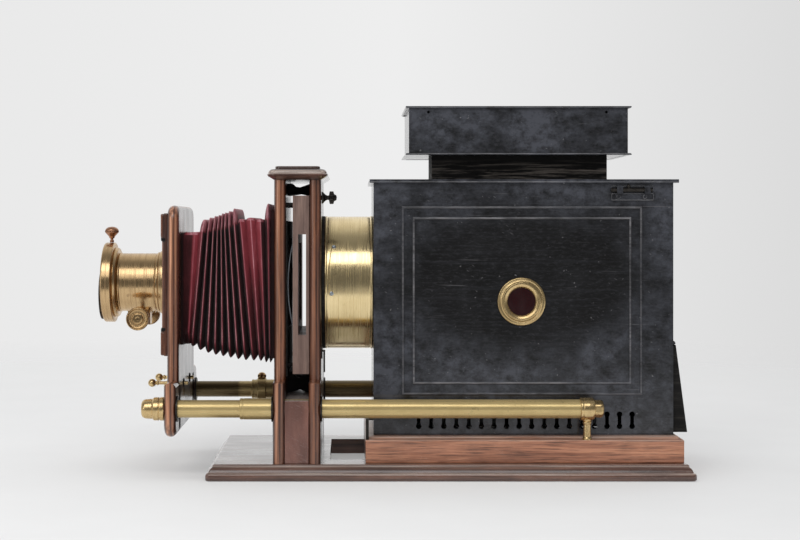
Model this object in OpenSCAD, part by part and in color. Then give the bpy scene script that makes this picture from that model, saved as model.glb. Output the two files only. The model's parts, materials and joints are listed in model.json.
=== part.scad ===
// Projection lantern: mahogany base, japanned lamphouse, slide stage, bellows and brass objective.
// X runs along the optical axis, with the objective at -X and the lamphouse at +X.
// The origin lies on the underside of the base, straight below the middle of the slide gate.

/* [Base] */
// Length of the base board
base_len = 490; // [470:1:560]
// Width of the base board
base_w = 232; // [226:1:280]
// Thickness of the base board
base_h = 16; // [12:1:24]
// Distance from the gate centre to the front edge of the base
base_front = 95; // [85:1:120]
// Radius of the base board's corners
base_corner_r = 14; // [9:1:20]
// Length of the air opening in the base, along the axis
air_len = 36.3; // [20:0.1:36.3]
// Width of the air opening in the base
air_w = 152; // [80:1:170]
// Distance from the gate centre to the plinth's front face
plinth_front = 65; // [65:1:75]
// Length of the plinth under the lamphouse
plinth_len = 320; // [318:1:326]
// Width of the plinth
plinth_w = 200; // [214:-1:200]
// Height of the plinth without its top strip
plinth_h = 23; // [16:1:30]
// Width of the plinth's rails
plinth_rail = 38; // [30:1:44]
// Thickness of the strip that the lamphouse stands on
strip_h = 2; // [1:0.5:4]

/* [Stage] */
// Thickness of the stage boards and of the front standard
board_t = 12; // [10:0.5:15]
// Space between the two stage boards
gate_gap = 24; // [23:0.5:30]
// Width of the boards above their ears
board_w = 160; // [156:1:172]
// Width of the boards across their ears
ear_w = 216; // [212:1:224]
// Height of the top of the ears above the table
ear_top = 97; // [92:1:110]
// Height of the top of the stage boards
stage_top = 301; // [298:1:320]
// Height of the block between the foot of the stage boards
block_h = 63; // [50:1:66]
// Thickness of the moulded cap
cap_h = 11; // [8:1:14]
// Thickness of the small board on the cap
cap_top_h = 3; // [2:0.5:6]
// How far the cap stands out past the boards
cap_out = 7; // [4:0.5:10]

/* [Slide gate] */
// Height of the slot that takes the slide carrier
slot_h = 103; // [90:1:108]
// Width of the slot that takes the slide carrier
slot_w = 8.1; // [6:0.1:10]
// Height of the sprung frame
frame_h = 182; // [170:1:186]
// Width of the sprung frame
frame_w = 148; // [130:1:152]
// Side of the square light opening in the gate
gate_window = 84; // [70:1:92]
// Thickness of the front leaf of the sprung frame
front_leaf_t = 5.4; // [4:0.1:6]
// Thickness of the rear leaf of the sprung frame
rear_leaf_t = 3; // [2:0.1:4]
// Radius of the pins that guide the sprung frame
guide_r = 2; // [1.5:0.1:3]
// Thickness of the bow springs
bow_t = 0.8; // [0.5:0.1:1]
// Length of the bow springs
bow_len = 85; // [60:1:100]
// Width of the bow springs
bow_w = 9; // [6:1:12]

/* [Condenser] */
// Height of the optical axis above the table
axis_z = 194; // [192:0.5:196]
// Outer radius of the condenser drum
drum_r = 70; // [66:0.5:72]
// Wall of the condenser drum
drum_wall = 1.5; // [1:0.1:2.5]
// Radius of the condenser lenses
cond_r = 57; // [50:0.5:59]
// Height of the curved side of the condenser lenses
cond_bulge = 14; // [8:0.5:15]
// Edge thickness of the condenser lenses
cond_edge = 4; // [3:0.5:5]

/* [Tubes] */
// Half the distance between the two tubes
tube_y = 95; // [94:0.5:97]
// Height of the tubes' centre lines
tube_z = 70; // [66:0.5:74]
// Outer radius of the fixed tubes
outer_r = 9.5; // [9.2:0.1:10]
// Outer radius of the sliding tubes
inner_r = 8.85; // [8:0.05:8.9]
// Wall of the sliding tubes
inner_wall = 0.8; // [0.6:0.1:1.5]
// Outer radius of the sleeves in front of the stage
sleeve_r = 10.6; // [10.5:0.1:12]
// Length of the sleeves
sleeve_len = 33.3; // [25:0.1:36]
// Radius of the dark plates round the tubes
plate_r = 13; // [12.5:0.1:13.5]
// Radius of the pillars' rings
ring_r = 11.5; // [11:0.1:13]
// Radius of the pillars
pillar_r = 3.85; // [3:0.1:5]
// Distance from the gate centre to the pillars
pillar_x = 288; // [280:1:300]
// Length of the sliding tubes behind the standard's front face
inner_len = 350; // [300:1:360]
// Running clearance of round fits
fit = 0.05; // [0.02:0.01:0.1]

/* [Front standard] */
// Distance from the gate centre to the front face of the standard
standard_x = 137; // [130:1:140]
// Height of the standard's foot above the table
standard_foot = 41.5; // [38:1:50]
// Height of the top of the standard
standard_top = 275; // [270:1:290]
// Side of the square lens board
lens_board_w = 146; // [130:1:148]
// Thickness of the lens board
lens_board_t = 6.5; // [5:0.5:9]
// Half the distance between the ball screws
ball_y = 30; // [20:1:40]
// Height of the ball screws
ball_z = 89.5; // [84:0.5:92]

/* [Objective] */
// Outer radius of the lens jacket
jacket_r = 30.8; // [29:0.1:32]
// Wall of the lens jacket
jacket_wall = 1.4; // [1:0.1:2]
// Length of the lens jacket in front of the lens board
jacket_len = 52; // [46:1:56]
// Radius of the flange on the lens board
flange_r = 35; // [34:0.5:38]
// Radius of the front hood ring
hood_r = 42.3; // [40:0.1:45]
// Length of the front hood ring
hood_len = 9; // [7:0.5:12]
// Length of the flare between draw tube and hood ring
flare_len = 6.6; // [5:0.1:9]
// Travel of the draw tube out of the jacket
focus_out = 32; // [10:1:34]
// Number of teeth on the focusing pinion
pinion_teeth = 10; // [10:1:12]
// Module of the rack and pinion
gear_module = 1; // [1:0.1:1.1]
// Width of the rack
rack_w = 6; // [4:0.5:7]
// Radius of the focusing knobs
knob_r = 12; // [9:0.5:14]
// Distance from the optical axis to the outer face of the focusing knobs
knob_y = 49; // [46:1:54]
// Radius of the flasher disc
flasher_r = 27.5; // [25:0.5:28]
// How far the flasher disc droops
flasher_droop = 14; // [5:1:25]

/* [Bellows] */
// Number of folds in the bellows
pleats = 12; // [8:1:13]
// Half the width of the bellows at its front fold
bellows_front = 65; // [60:1:70]
// Half the width of the bellows at its rear fold
bellows_rear = 79; // [74:1:80]
// Depth of the folds
fold_depth = 10; // [6:0.5:10]
// Thickness of the leather
leather_t = 1.2; // [0.8:0.1:1.5]

/* [Lamphouse] */
// Length of the lamphouse
house_len = 305.6; // [300:0.1:312]
// Width of the lamphouse
house_w = 150; // [140:1:154]
// Height of the lamphouse's sides
house_h = 257; // [250:1:270]
// Distance from the gate centre to the lamphouse's front face
house_front = 73.4; // [70:0.1:76]
// Thickness of the sheet iron
sheet_t = 1.2; // [1:0.1:1.6]
// Height of the roof's lip
roof_h = 3.5; // [2.5:0.1:6]
// How far the roof stands out past the walls
roof_out = 4; // [2:0.5:6]
// Outer radius of the sight window's ring
window_ring_r = 24.5; // [20:0.5:28]
// Radius of the ruby glass that shows
window_r = 14.2; // [10:0.1:17]
// Distance between the vent holes
vent_pitch = 12.8; // [10:0.1:14]
// Number of vent holes in each side
vents = 18; // [6:1:22]
// Height of the rear opening
rear_opening_h = 84; // [70:1:90]
// Distance that the rear flap stands out at its foot
flap_out = 15; // [10:1:20]

/* [Chimney] */
// Length of the chimney neck
neck_len = 183; // [150:1:190]
// Width of the chimney neck
neck_w = 68; // [50:1:80]
// Length of the cowl
cowl_len = 225; // [215:1:240]
// Width of the cowl
cowl_w = 124; // [110:1:140]
// Height of the cowl
cowl_h = 50; // [40:1:60]
// Height of the gap between roof and cowl
cowl_gap = 25.5; // [15:0.5:35]
// How far the cowl's rims stand out
cowl_rim = 3.3; // [2:0.1:5]

/* [Lamp] */
// Distance from the gate centre to the lime
lime_x = 165; // [160:1:176]
// Radius of the lime cylinder
lime_r = 10; // [7:0.5:12]
// Height of the lime cylinder
lime_h = 34; // [24:1:40]
// Length of the lamp tray
tray_len = 190; // [170:1:196]
// Width of the lamp tray
tray_w = 100; // [80:1:120]

/* [Hidden] */
$fn = 64;
FINE = 96;

black_iron = "#262728";
mahogany = "#6b4434";
walnut = "#8a5a42";
brass = "#b99b5a";
old_brass = "#8f7a4c";
steel = "#3c3a38";
maroon = "#5a1426";
ruby = "#5c0a14";
glass = "#dfe8ea";
chalk = "#ece8dc";

// Places along the axis
base_x = -base_front;
front_board_x = -gate_gap / 2 - board_t - 4;
gate_front = front_board_x + board_t;
gate_rear = gate_front + gate_gap;
rear_face = gate_rear + board_t;
standard_rear = -standard_x + board_t;
air_x = rear_face + 8.7;
house_rear = house_front + house_len;
plinth_rear = plinth_front + plinth_len;

// Heights
plinth_top = base_h + plinth_h;
house_z = plinth_top + strip_h;
house_top = house_z + house_h;
roof_top = house_top + roof_h;
block_top = base_h + block_h;
cap_z = stage_top;

// Gate
gate_plate_t = 1.5;
frame_x = -slot_w / 2 + 0.45 - front_leaf_t;
frame_t = front_leaf_t + slot_w + rear_leaf_t;
frame_z = axis_z - frame_h / 2;
guide_y = frame_w / 2 - 9;
guide_dz = frame_h / 2 - 9;
bow_rise = frame_x - gate_front - gate_plate_t - 0.1;
bow_radius = (pow(bow_len / 2, 2) + pow(bow_rise, 2)) / (2 * bow_rise);
bow_y = frame_w / 2 - bow_w - 1;
stage_screw_r = 2.4;
stage_screw_y = -board_w / 2 + 14;
stage_screw_z = frame_z + frame_h - 2;

// Condenser
drum_len = house_front - rear_face;
drum_bore = drum_r - drum_wall;
cell_r = drum_bore - 0.1;
cell_x = rear_face + 3;
cell_len = 2 * (cond_bulge + cond_edge) + 5;
board_bore_r = cond_r + 2;

// Tubes
tube_bore = inner_r + fit;
tube_front = front_board_x - sleeve_len + 1.2;
ring_len = 14.7;
ring_x = pillar_x - ring_len / 2;
tube_rear = ring_x + 9;
plate_t = 1.5;
foot_r = 4.8;
nut_depth = 12;
cap_nut_r = 11.8;
inner_rear = -standard_x + inner_len + nut_depth;
clamp_x = front_board_x - 22;
clamp_len = 10;
clamp_r = sleeve_r + 2.2;
clamp_screw_r = 2;

// Standard
lens_front = -standard_x - lens_board_t;
standard_bore = 52;
ball_r = 4.2;
ball_stem_r = 1.8;
ball_reach = 21;
nut_t = 4.5;

// Objective
jacket_front = lens_front - jacket_len;
jacket_bore = jacket_r - jacket_wall;
draw_r = jacket_bore - fit;
draw_wall = 1.4;
flare_x = jacket_front - 0.3;
hood_x = flare_x - flare_len;
draw_rear = lens_front + 12;
pitch_r = pinion_teeth * gear_module / 2;
rack_tip_z = axis_z - draw_r - 3.1 * gear_module;
pitch_z = rack_tip_z + gear_module;
pinion_z = pitch_z - pitch_r;
rack_pitch = PI * gear_module;
pinion_x = lens_front - 27.5;
box_len = 16;
box_w = 20;
shaft_r = 2;
rack_slot_w = rack_w + 1;
flasher_t = 1;
flasher_x = hood_x - hood_len - 1.6;
flasher_pin_r = 1;
flasher_pivot_y = hood_r - 2.4;
flasher_arm = flasher_pivot_y + 7;
hood_screw_z = axis_z + hood_r;

// Bellows
bellows_frame_t = 3;
bellows_x0 = standard_rear + bellows_frame_t;
bellows_x1 = front_board_x - bellows_frame_t;
fold_chamfer = 12;

// Lamphouse
side_y = house_w / 2;
ring_x0 = (house_front + house_rear) / 2 - 2;
window_z = 177;
bead_w = 2;
bead_h = 0.9;
panel_x = [house_front + 29, house_rear - 32];
panel_z = [house_z + 41, house_top - 24];
panel_step = 11;
vent_x = house_front + 46;
vent_z = house_z + 21;
vent_r = 2.9;
vent_drop = 12.2;
vent_neck = 3.8;
opening_w = house_w - 24;
hinge_r = 2.6;
door_gap = 0.3;
door_y = side_y + door_gap;
door_hinge_x = panel_x[0] - 3;
door_hinge_y = side_y + hinge_r + 0.2;
door_hinge_z = [panel_z[0] + 24, panel_z[1] - 44];
door_knuckle = 20;
door_pin_r = 1;
door_knob_z = window_z + 8;
bolt_x = house_rear - 64;
bolt_y = -side_y - 2.6;
bolt_z = house_top - 7.4;
bolt_r = 2;
flap_z = house_z + rear_opening_h + 9;
flap_w = house_w - 8;
flap_foot = house_z + 2.4;
flap_pin_x = house_rear + 2.4;
flap_pin_r = 1;

// Chimney
neck_x = house_front + 61.6;
neck_top = roof_top + cowl_gap + cowl_h / 2;
cowl_x = neck_x + (neck_len - cowl_len) / 2 - 4;
cowl_z = roof_top + cowl_gap;
strap_w = 10;

// Lamp
tray_x = lime_x - 22;
floor_top = house_z + sheet_t;
runner_w = 3;
tray_z = floor_top + 0.3;
tray_t = 1.5;
rod_x = lime_x + 62;
rod_r = 4;
rod_h = 175;
saddle_z = axis_z - 34;
lime_z = axis_z - lime_h / 2;
spindle_r = 1.6;
spindle_drop = 26;
spindle_knob_r = 6;
spindle_knob_h = 7;
jet_back = 24;
tap_x = rod_x + 34;
tap_r = 1.5;

// Shared shapes

// A plane outline in Y and Z, carried along X
module along_x(x0, len) translate([x0, 0, 0]) rotate([90, 0, 90]) linear_extrude(len) children();

// A plane outline in X and Z, carried along Y
module along_y(y0, len) translate([0, y0 + len, 0]) rotate([90, 0, 0]) linear_extrude(len) children();

module x_rod(x0, len, r, y = 0, z = 0) translate([x0, y, z]) rotate([0, 90, 0]) cylinder(h = len, r = r);

module y_rod(y0, len, r, x = 0, z = 0) translate([x, y0, z]) rotate([-90, 0, 0]) cylinder(h = len, r = r);

// A profile of [place, radius] points turned round an axis along X
module turned_x(profile, y = 0, z = 0)
    translate([0, y, z]) rotate([0, 90, 0])
        rotate_extrude($fn = FINE) polygon([for (p = profile) [p[1], p[0]]]);

// The same, round an axis along Y
module turned_y(profile, x = 0, z = 0)
    translate([x, 0, z]) rotate([-90, 0, 0])
        rotate_extrude($fn = FINE) polygon([for (p = profile) [p[1], p[0]]]);

// The same, round an axis along Z
module turned_z(profile, x = 0, y = 0)
    translate([x, y, 0]) rotate_extrude($fn = FINE) polygon([for (p = profile) [p[1], p[0]]]);

module block(x, y, z)
    translate([x[0], y[0], z[0]]) cube([x[1] - x[0], y[1] - y[0], z[1] - z[0]]);

// A quarter round of n steps between two [inset, height] points, bulging outwards
function ovolo(a, b, n) = [for (i = [0:n]) let (t = 90 * i / n)
    [a[0] + (b[0] - a[0]) * (1 - cos(t)), a[1] + (b[1] - a[1]) * sin(t)]];

// A slab whose edge follows a profile of [inset, height] points, with round corners
module moulded_slab(x, half, r, z0, profile) {
    n = len(profile);
    function span(lo, hi) = concat([for (p = profile) [hi - p[0], p[1]]],
        [for (i = [n - 1:-1:0]) [lo + profile[i][0], profile[i][1]]]);
    corner = concat([for (p = profile) [r - p[0], p[1]]], [[0, profile[n - 1][1]], [0, profile[0][1]]]);
    translate([0, 0, z0]) {
        along_x(x[0] + r, x[1] - x[0] - 2 * r) polygon(span(-half, half));
        along_y(r - half, 2 * (half - r)) polygon(span(x[0], x[1]));
        for (cx = [x[0] + r, x[1] - r], cy = [r - half, half - r])
            translate([cx, cy, 0]) rotate_extrude($fn = FINE) polygon(corner);
    }
}

// A board across the axis with round long edges and ears for the tubes
module eared_board(x0, foot, top) {
    r = board_t / 2;
    for (s = [[board_w, top], [ear_w, ear_top]]) {
        block([x0, x0 + board_t], [r - s[0] / 2, s[0] / 2 - r], [foot, s[1]]);
        for (side = [-1, 1])
            translate([x0 + r, side * (s[0] / 2 - r), foot]) cylinder(h = s[1] - foot, r = r);
    }
}

module tube_holes(x0, len, r)
    for (side = [-1, 1]) x_rod(x0 - 1, len + 2, r, side * tube_y, tube_z);

// Base and plinth

base_profile = concat(
    [[1.5, 0]], [[0.3, 1.5], [0, 4]], ovolo([0, 6], [3, 9.5], 4), [[4.2, 9.8], [4.2, base_h - 4]],
    ovolo([4.4, base_h - 4], [6, base_h], 4));

module base_board() color(mahogany) difference() {
    moulded_slab([base_x, base_x + base_len], base_w / 2, base_corner_r, 0, base_profile);
    block([air_x, air_x + air_len], [-air_w / 2, air_w / 2], [-1, base_h + 1]);
}

module plinth() color(walnut) {
    difference() {
        block([plinth_front, plinth_rear], [-plinth_w / 2, plinth_w / 2], [base_h, plinth_top]);
        block([plinth_front + plinth_rail, plinth_rear - plinth_rail],
            [plinth_rail - plinth_w / 2, plinth_w / 2 - plinth_rail], [base_h - 1, plinth_top + 1]);
    }
    strip_y = tube_y - foot_r - 3;
    difference() {
        block([plinth_front + 3, plinth_rear - 3], [-strip_y, strip_y], [plinth_top, house_z]);
        block([plinth_front + plinth_rail, plinth_rear - plinth_rail],
            [plinth_rail - plinth_w / 2, plinth_w / 2 - plinth_rail], [plinth_top - 1, house_z + 1]);
    }
}

// An angle of strap iron that stands on the plinth and reaches in to the lamphouse's front
module plinth_catch() color(steel) {
    x = [plinth_front + 0.3, plinth_front + 3.3];
    y = -plinth_w / 2 + 4;
    block(x, [y, y + 8], [plinth_top, plinth_top + 21]);
    block(x, [y, -side_y + 9], [plinth_top + 17, plinth_top + 21]);
    block([x[0], house_front], [-side_y + 1, -side_y + 9], [plinth_top + 17, plinth_top + 21]);
}

// Stage

module stage_front_board() color(mahogany) difference() {
    eared_board(front_board_x, base_h, stage_top);
    along_x(front_board_x - 1, board_t + 2) translate([0, axis_z]) square(gate_window + 16, center = true);
    tube_holes(front_board_x, board_t, outer_r + fit);
}

module stage_rear_board() color(mahogany) difference() {
    eared_board(gate_rear, base_h, stage_top);
    x_rod(gate_rear - 1, board_t + 2, board_bore_r, 0, axis_z);
    tube_holes(gate_rear, board_t, outer_r + fit);
    x_rod(gate_rear - 1, board_t + 2, stage_screw_r + fit, stage_screw_y, stage_screw_z);
}

module stage_block() color(mahogany) difference() {
    block([gate_front, gate_rear], [3 - ear_w / 2, ear_w / 2 - 3], [base_h, block_top]);
    if (tube_z - outer_r < block_top) tube_holes(gate_front, gate_gap, outer_r + fit);
}

cap_profile = concat(ovolo([cap_out, 0], [0, 4.5], 4), [[0, cap_h - 4]],
    ovolo([0.8, cap_h - 4], [5.5, cap_h], 4));

module stage_cap() color(mahogany) {
    x = [front_board_x - cap_out, rear_face + cap_out];
    moulded_slab(x, board_w / 2 + cap_out, 10, cap_z, cap_profile);
    moulded_slab([x[0] + 8, x[1] - 8], board_w / 2 + cap_out - 8, 6, cap_z + cap_h,
        concat([[0, 0]], ovolo([0, cap_top_h / 2], [1.2, cap_top_h], 3)));
}

module gate_plate() color(steel) difference() {
    block([gate_front, gate_front + gate_plate_t], [-frame_w / 2, frame_w / 2],
        [frame_z - 4, frame_z + frame_h - 4]);
    block([gate_front - 1, gate_front + 3], [-gate_window / 2, gate_window / 2],
        [axis_z - gate_window / 2, axis_z + gate_window / 2]);
    for (y = [-guide_y, guide_y], z = [-guide_dz, guide_dz])
        x_rod(gate_front - 1, 4, guide_r + fit, y, axis_z + z);
}

module gate_guide_pins() color(brass)
    for (y = [-guide_y, guide_y], z = [-guide_dz, guide_dz])
        x_rod(gate_front, gate_gap, guide_r, y, axis_z + z);

module slide_frame() color(walnut) difference() {
    block([frame_x, frame_x + frame_t], [-frame_w / 2, frame_w / 2], [frame_z, frame_z + frame_h]);
    block([frame_x + front_leaf_t, frame_x + front_leaf_t + slot_w], [-frame_w, frame_w],
        [axis_z - slot_h / 2, axis_z + slot_h / 2]);
    block([frame_x - 1, frame_x + frame_t + 1], [-gate_window / 2, gate_window / 2],
        [axis_z - gate_window / 2, axis_z + gate_window / 2]);
    for (y = [-guide_y, guide_y], z = [-guide_dz, guide_dz])
        x_rod(frame_x - 1, frame_t + 2, guide_r + fit, y, axis_z + z);
}

// Each spring is an arc whose ends stand on the plate and whose crown bears on the frame
module bow_springs() color(steel) for (side = [-1, 1])
    along_y(side * bow_y - bow_w / 2, bow_w) intersection() {
        translate([gate_front + gate_plate_t + bow_rise - bow_radius, axis_z]) difference() {
            circle(r = bow_radius, $fn = 360);
            circle(r = bow_radius - bow_t, $fn = 360);
        }
        translate([gate_front + gate_plate_t, axis_z - bow_len / 2]) square([bow_rise + 1, bow_len]);
    }

module stage_screw() color(steel) turned_x([
    [gate_rear + 1.5, 0], [gate_rear + 1.5, stage_screw_r], [rear_face + 0.4, stage_screw_r],
    [rear_face + 0.4, 6.4], [rear_face + 2, 5.8], [rear_face + 6.4, 2.2], [rear_face + 8, 2.2],
    [rear_face + 8.6, 6.6], [rear_face + 12.6, 6.6], [rear_face + 13.2, 3.4], [rear_face + 16, 0]
], stage_screw_y, stage_screw_z);

module stage_hook() color(steel) {
    y = -board_w / 2 + 16;
    block([rear_face, rear_face + 1.2], [y - 3, y + 3], [118, 132]);
    x_rod(rear_face, 4, 1, y, 126);
    translate([rear_face + 3, y, 104]) cylinder(h = 22, r = 0.9);
}

// Condenser

module condenser_drum() color(brass) turned_x([
    [rear_face, board_bore_r], [rear_face, drum_r], [rear_face + 2, drum_r + 0.8],
    [rear_face + 3.4, drum_r], [house_front - 3.4, drum_r], [house_front - 2, drum_r + 0.8],
    [house_front, drum_r], [house_front, drum_bore], [rear_face + drum_wall, drum_bore],
    [rear_face + drum_wall, board_bore_r]
], 0, axis_z);

module condenser_cell() color(old_brass) {
    x0 = cell_x;
    x1 = cell_x + cell_len;
    turned_x([
        [x0, cond_r - 3], [x0, cell_r], [x0 + 2, cell_r], [x0 + 2, cond_r + 1.5],
        [x1 - 2, cond_r + 1.5], [x1 - 2, cell_r], [x1, cell_r], [x1, cond_r - 3],
        [x1 - 1.5, cond_r - 3], [x1 - 1.5, cond_r + fit], [x0 + 1.5, cond_r + fit], [x0 + 1.5, cond_r - 3]
    ], 0, axis_z);
}

// A plano-convex lens: flat side at x, edge and crown towards dir
module plano_lens(x, dir, r, edge, bulge) {
    big = (r * r + bulge * bulge) / (2 * bulge);
    steps = 10;
    turned_x(concat([[x, 0], [x, r]], [for (i = [0:steps]) let (h = r * (1 - i / steps))
        [x + dir * (edge + bulge - big + sqrt(big * big - h * h)), h]]), 0, axis_z);
}

module condenser_lenses() color(glass) {
    plano_lens(cell_x + 1.6, 1, cond_r, cond_edge, cond_bulge);
    plano_lens(cell_x + cell_len - 1.6, -1, cond_r, cond_edge, cond_bulge);
}

// Tubes

module outer_tubes() color(brass) for (side = [-1, 1]) difference() {
    x_rod(tube_front, tube_rear - tube_front, outer_r, side * tube_y, tube_z);
    x_rod(tube_front - 1, tube_rear - tube_front + 2, tube_bore, side * tube_y, tube_z);
    if (side == 1) clamp_hole();
}

module clamp_hole()
    translate([clamp_x, tube_y, tube_z]) cylinder(h = clamp_r + 2, r = clamp_screw_r + fit);

module tube_sleeves() color(old_brass) for (side = [-1, 1]) difference() {
    union() {
        turned_x([
            [tube_front - 1.2, tube_bore], [tube_front - 1.2, sleeve_r - 0.5], [tube_front - 0.6, sleeve_r],
            [front_board_x, sleeve_r], [front_board_x, outer_r + fit], [tube_front, outer_r + fit],
            [tube_front, tube_bore]
        ], side * tube_y, tube_z);
        if (side == 1) turned_x([
            [clamp_x - clamp_len / 2, sleeve_r - 0.4], [clamp_x - clamp_len / 2, clamp_r - 0.5],
            [clamp_x - clamp_len / 2 + 0.6, clamp_r], [clamp_x + clamp_len / 2 - 0.6, clamp_r],
            [clamp_x + clamp_len / 2, clamp_r - 0.5], [clamp_x + clamp_len / 2, sleeve_r - 0.4]
        ], side * tube_y, tube_z);
    }
    if (side == 1) clamp_hole();
}

module tube_clamp_screw() color(brass) turned_z([
    [tube_z + inner_r + 0.2, 0], [tube_z + inner_r + 0.2, clamp_screw_r],
    [tube_z + clamp_r + 0.6, clamp_screw_r], [tube_z + clamp_r + 1, 3.4],
    [tube_z + clamp_r + 3, 4.8], [tube_z + clamp_r + 5.4, 4.8],
    [tube_z + clamp_r + 8, 2.6], [tube_z + clamp_r + 8.6, 0]
], clamp_x, tube_y);

module round_plate(x0, r_hole, side) difference() {
    x_rod(x0, plate_t, plate_r, side * tube_y, tube_z);
    x_rod(x0 - 1, plate_t + 2, r_hole, side * tube_y, tube_z);
}

module tube_plates() color(steel) for (side = [-1, 1]) {
    round_plate(front_board_x - plate_t, sleeve_r + fit, side);
    round_plate(rear_face, outer_r + fit, side);
}

module tube_pillars() color(brass) for (side = [-1, 1]) difference() {
    union() {
        turned_x([
            [ring_x, 0], [ring_x, ring_r - 1], [ring_x + 1, ring_r], [ring_x + 5, ring_r],
            [ring_x + 5.8, ring_r - 0.8], [ring_x + 6.6, ring_r], [ring_x + ring_len - 1, ring_r],
            [ring_x + ring_len, ring_r - 1], [ring_x + ring_len, 9.2], [ring_x + ring_len + 5.5, 9.2],
            [ring_x + ring_len + 9, 6], [ring_x + ring_len + 9, 0]
        ], side * tube_y, tube_z);
        turned_z([
            [plinth_top, 0], [plinth_top, foot_r], [plinth_top + 1.5, foot_r], [plinth_top + 3, pillar_r],
            [tube_z - ring_r - 2, pillar_r], [tube_z - ring_r + 1, pillar_r + 2], [tube_z, pillar_r],
            [tube_z, 0]
        ], pillar_x, side * tube_y);
    }
    x_rod(ring_x - 1, tube_rear - ring_x + 1, outer_r + fit, side * tube_y, tube_z);
}

module inner_tubes() color(brass) for (side = [-1, 1]) difference() {
    x0 = -standard_x - nut_depth;
    x_rod(x0, inner_rear - x0, inner_r, side * tube_y, tube_z);
    x_rod(x0 - 1, inner_rear - x0 + 2, inner_r - inner_wall, side * tube_y, tube_z);
}

module tube_cap_nuts() color(old_brass) for (side = [-1, 1]) {
    x = -standard_x;
    turned_x([
        [x, inner_r + fit], [x, cap_nut_r - 0.8], [x - 1.5, cap_nut_r], [x - 4.5, cap_nut_r],
        [x - 5.2, cap_nut_r - 0.8], [x - 6, cap_nut_r], [x - 8, cap_nut_r], [x - 8.7, cap_nut_r - 0.8],
        [x - 9.5, cap_nut_r], [x - 11.5, cap_nut_r], [x - 13, cap_nut_r - 2.3], [x - 20, cap_nut_r - 2.3],
        [x - 23, cap_nut_r - 4.4], [x - 23.4, 0], [x - nut_depth - 0.2, 0],
        [x - nut_depth - 0.2, inner_r + fit]
    ], side * tube_y, tube_z);
}

// Front standard

module front_standard() color(mahogany) {
    corner = 16;
    difference() {
        eared_board(-standard_x, standard_foot, standard_top);
        x_rod(-standard_x - 1, board_t + 2, standard_bore, 0, axis_z);
        tube_holes(-standard_x, board_t, inner_r + fit);
        for (side = [-1, 1]) {
            x_rod(-standard_x - 1, board_t + 2, ball_stem_r + fit, side * ball_y, ball_z);
            corner_cut(-standard_x, side * ear_w / 2, standard_foot, -side, 1, corner);
            corner_cut(-standard_x, side * board_w / 2, standard_top, -side, -1, corner);
        }
    }
}

// What a round corner takes off a board, with the corner's point at y, z
module corner_cut(x0, y, z, dy, dz, r) along_x(x0 - 1, board_t + 2) difference() {
    translate([min(y - dy, y + dy * r), min(z - dz, z + dz * r)]) square(r + 1);
    translate([y + dy * r, z + dz * r]) circle(r = r, $fn = FINE);
}

module standard_plates() color(steel) for (side = [-1, 1])
    round_plate(standard_rear, inner_r + fit, side);

module lens_board() color(mahogany) difference() {
    half = lens_board_w / 2;
    union() {
        block([lens_front + 2.5, -standard_x], [-half, half], [axis_z - half, axis_z + half]);
        block([lens_front, lens_front + 2.6], [3 - half, half - 3], [axis_z - half + 3, axis_z + half - 3]);
    }
    x_rod(lens_front - 1, lens_board_t + 2, draw_r + 0.6, 0, axis_z);
    block([lens_front - 1, -standard_x + 1], [-rack_slot_w / 2, rack_slot_w / 2], [rack_tip_z - 1, axis_z]);
}

module ball_screw(side) color(brass) {
    x = -standard_x - ball_reach;
    turned_x([
        [x - ball_r, 0], [x - 0.92 * ball_r, 0.4 * ball_r], [x - 0.7 * ball_r, 0.71 * ball_r],
        [x - 0.38 * ball_r, 0.92 * ball_r], [x, ball_r], [x + 0.38 * ball_r, 0.92 * ball_r],
        [x + 0.7 * ball_r, 0.71 * ball_r], [x + 0.92 * ball_r, ball_stem_r],
        [standard_rear + nut_t, ball_stem_r], [standard_rear + nut_t, 0]
    ], side * ball_y, ball_z);
}

module ball_screw_near() ball_screw(-1);
module ball_screw_far() ball_screw(1);

// Round nuts of the ball screws, and the wood screws that hold the lens board
module standard_fasteners() color(steel) {
    for (side = [-1, 1]) difference() {
        x_rod(standard_rear, nut_t, 5, side * ball_y, ball_z);
        x_rod(standard_rear - 1, nut_t + 2, ball_stem_r + fit, side * ball_y, ball_z);
    }
    half = lens_board_w / 2;
    for (y = [8 - half, half - 8], z = [26 - half, half - 26]) turned_x([
        [lens_front, 0], [lens_front, 3], [lens_front - 0.6, 2.8], [lens_front - 1.2, 1.6],
        [lens_front - 1.2, 0]
    ], y, axis_z + z);
}

// Bellows

// Eight corners of a square with cut corners, across the axis
function fold_ring(x, half, c) = [for (p = [[1, 0], [0, 1], [0, -1], [-1, 0]]) each
    p[0] == 1 ? [[x, half - c, half], [x, half, half - c]]
    : p[1] == 1 ? [[x, half, c - half], [x, half - c, -half]]
    : p[1] == -1 ? [[x, c - half, -half], [x, -half, c - half]]
    : [[x, -half, half - c], [x, c - half, half]]];

// Half the width of the leather at each station: even stations are valleys, odd ones are tips
function fold_half(i) = let (t = i / (2 * pleats)) bellows_front + (bellows_rear - bellows_front) * t
    - (i % 2 == 0 ? fold_depth : 0);

module bellows() color(maroon) {
    n = 2 * pleats;
    step = (bellows_x1 - bellows_x0) / n;
    points = [for (d = [0, 1.5 * leather_t], i = [0:n])
        each fold_ring(bellows_x0 + step * i, fold_half(i) - d, fold_chamfer)];
    m = 8 * (n + 1);
    skin = [for (i = [0:n - 1], k = [0:7]) let (a = 8 * i + k, b = 8 * i + (k + 1) % 8) each
        [[a, a + 8, b + 8], [a, b + 8, b], [m + a, m + b + 8, m + a + 8], [m + a, m + b, m + b + 8]]];
    ends = [for (k = [0:7]) let (b = (k + 1) % 8, e = 8 * n) each
        [[k, b, m + b], [k, m + b, m + k], [e + k, m + e + b, e + b], [e + k, m + e + k, m + e + b]]];
    translate([0, 0, axis_z]) polyhedron(points = points, faces = concat(skin, ends));
}

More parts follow.
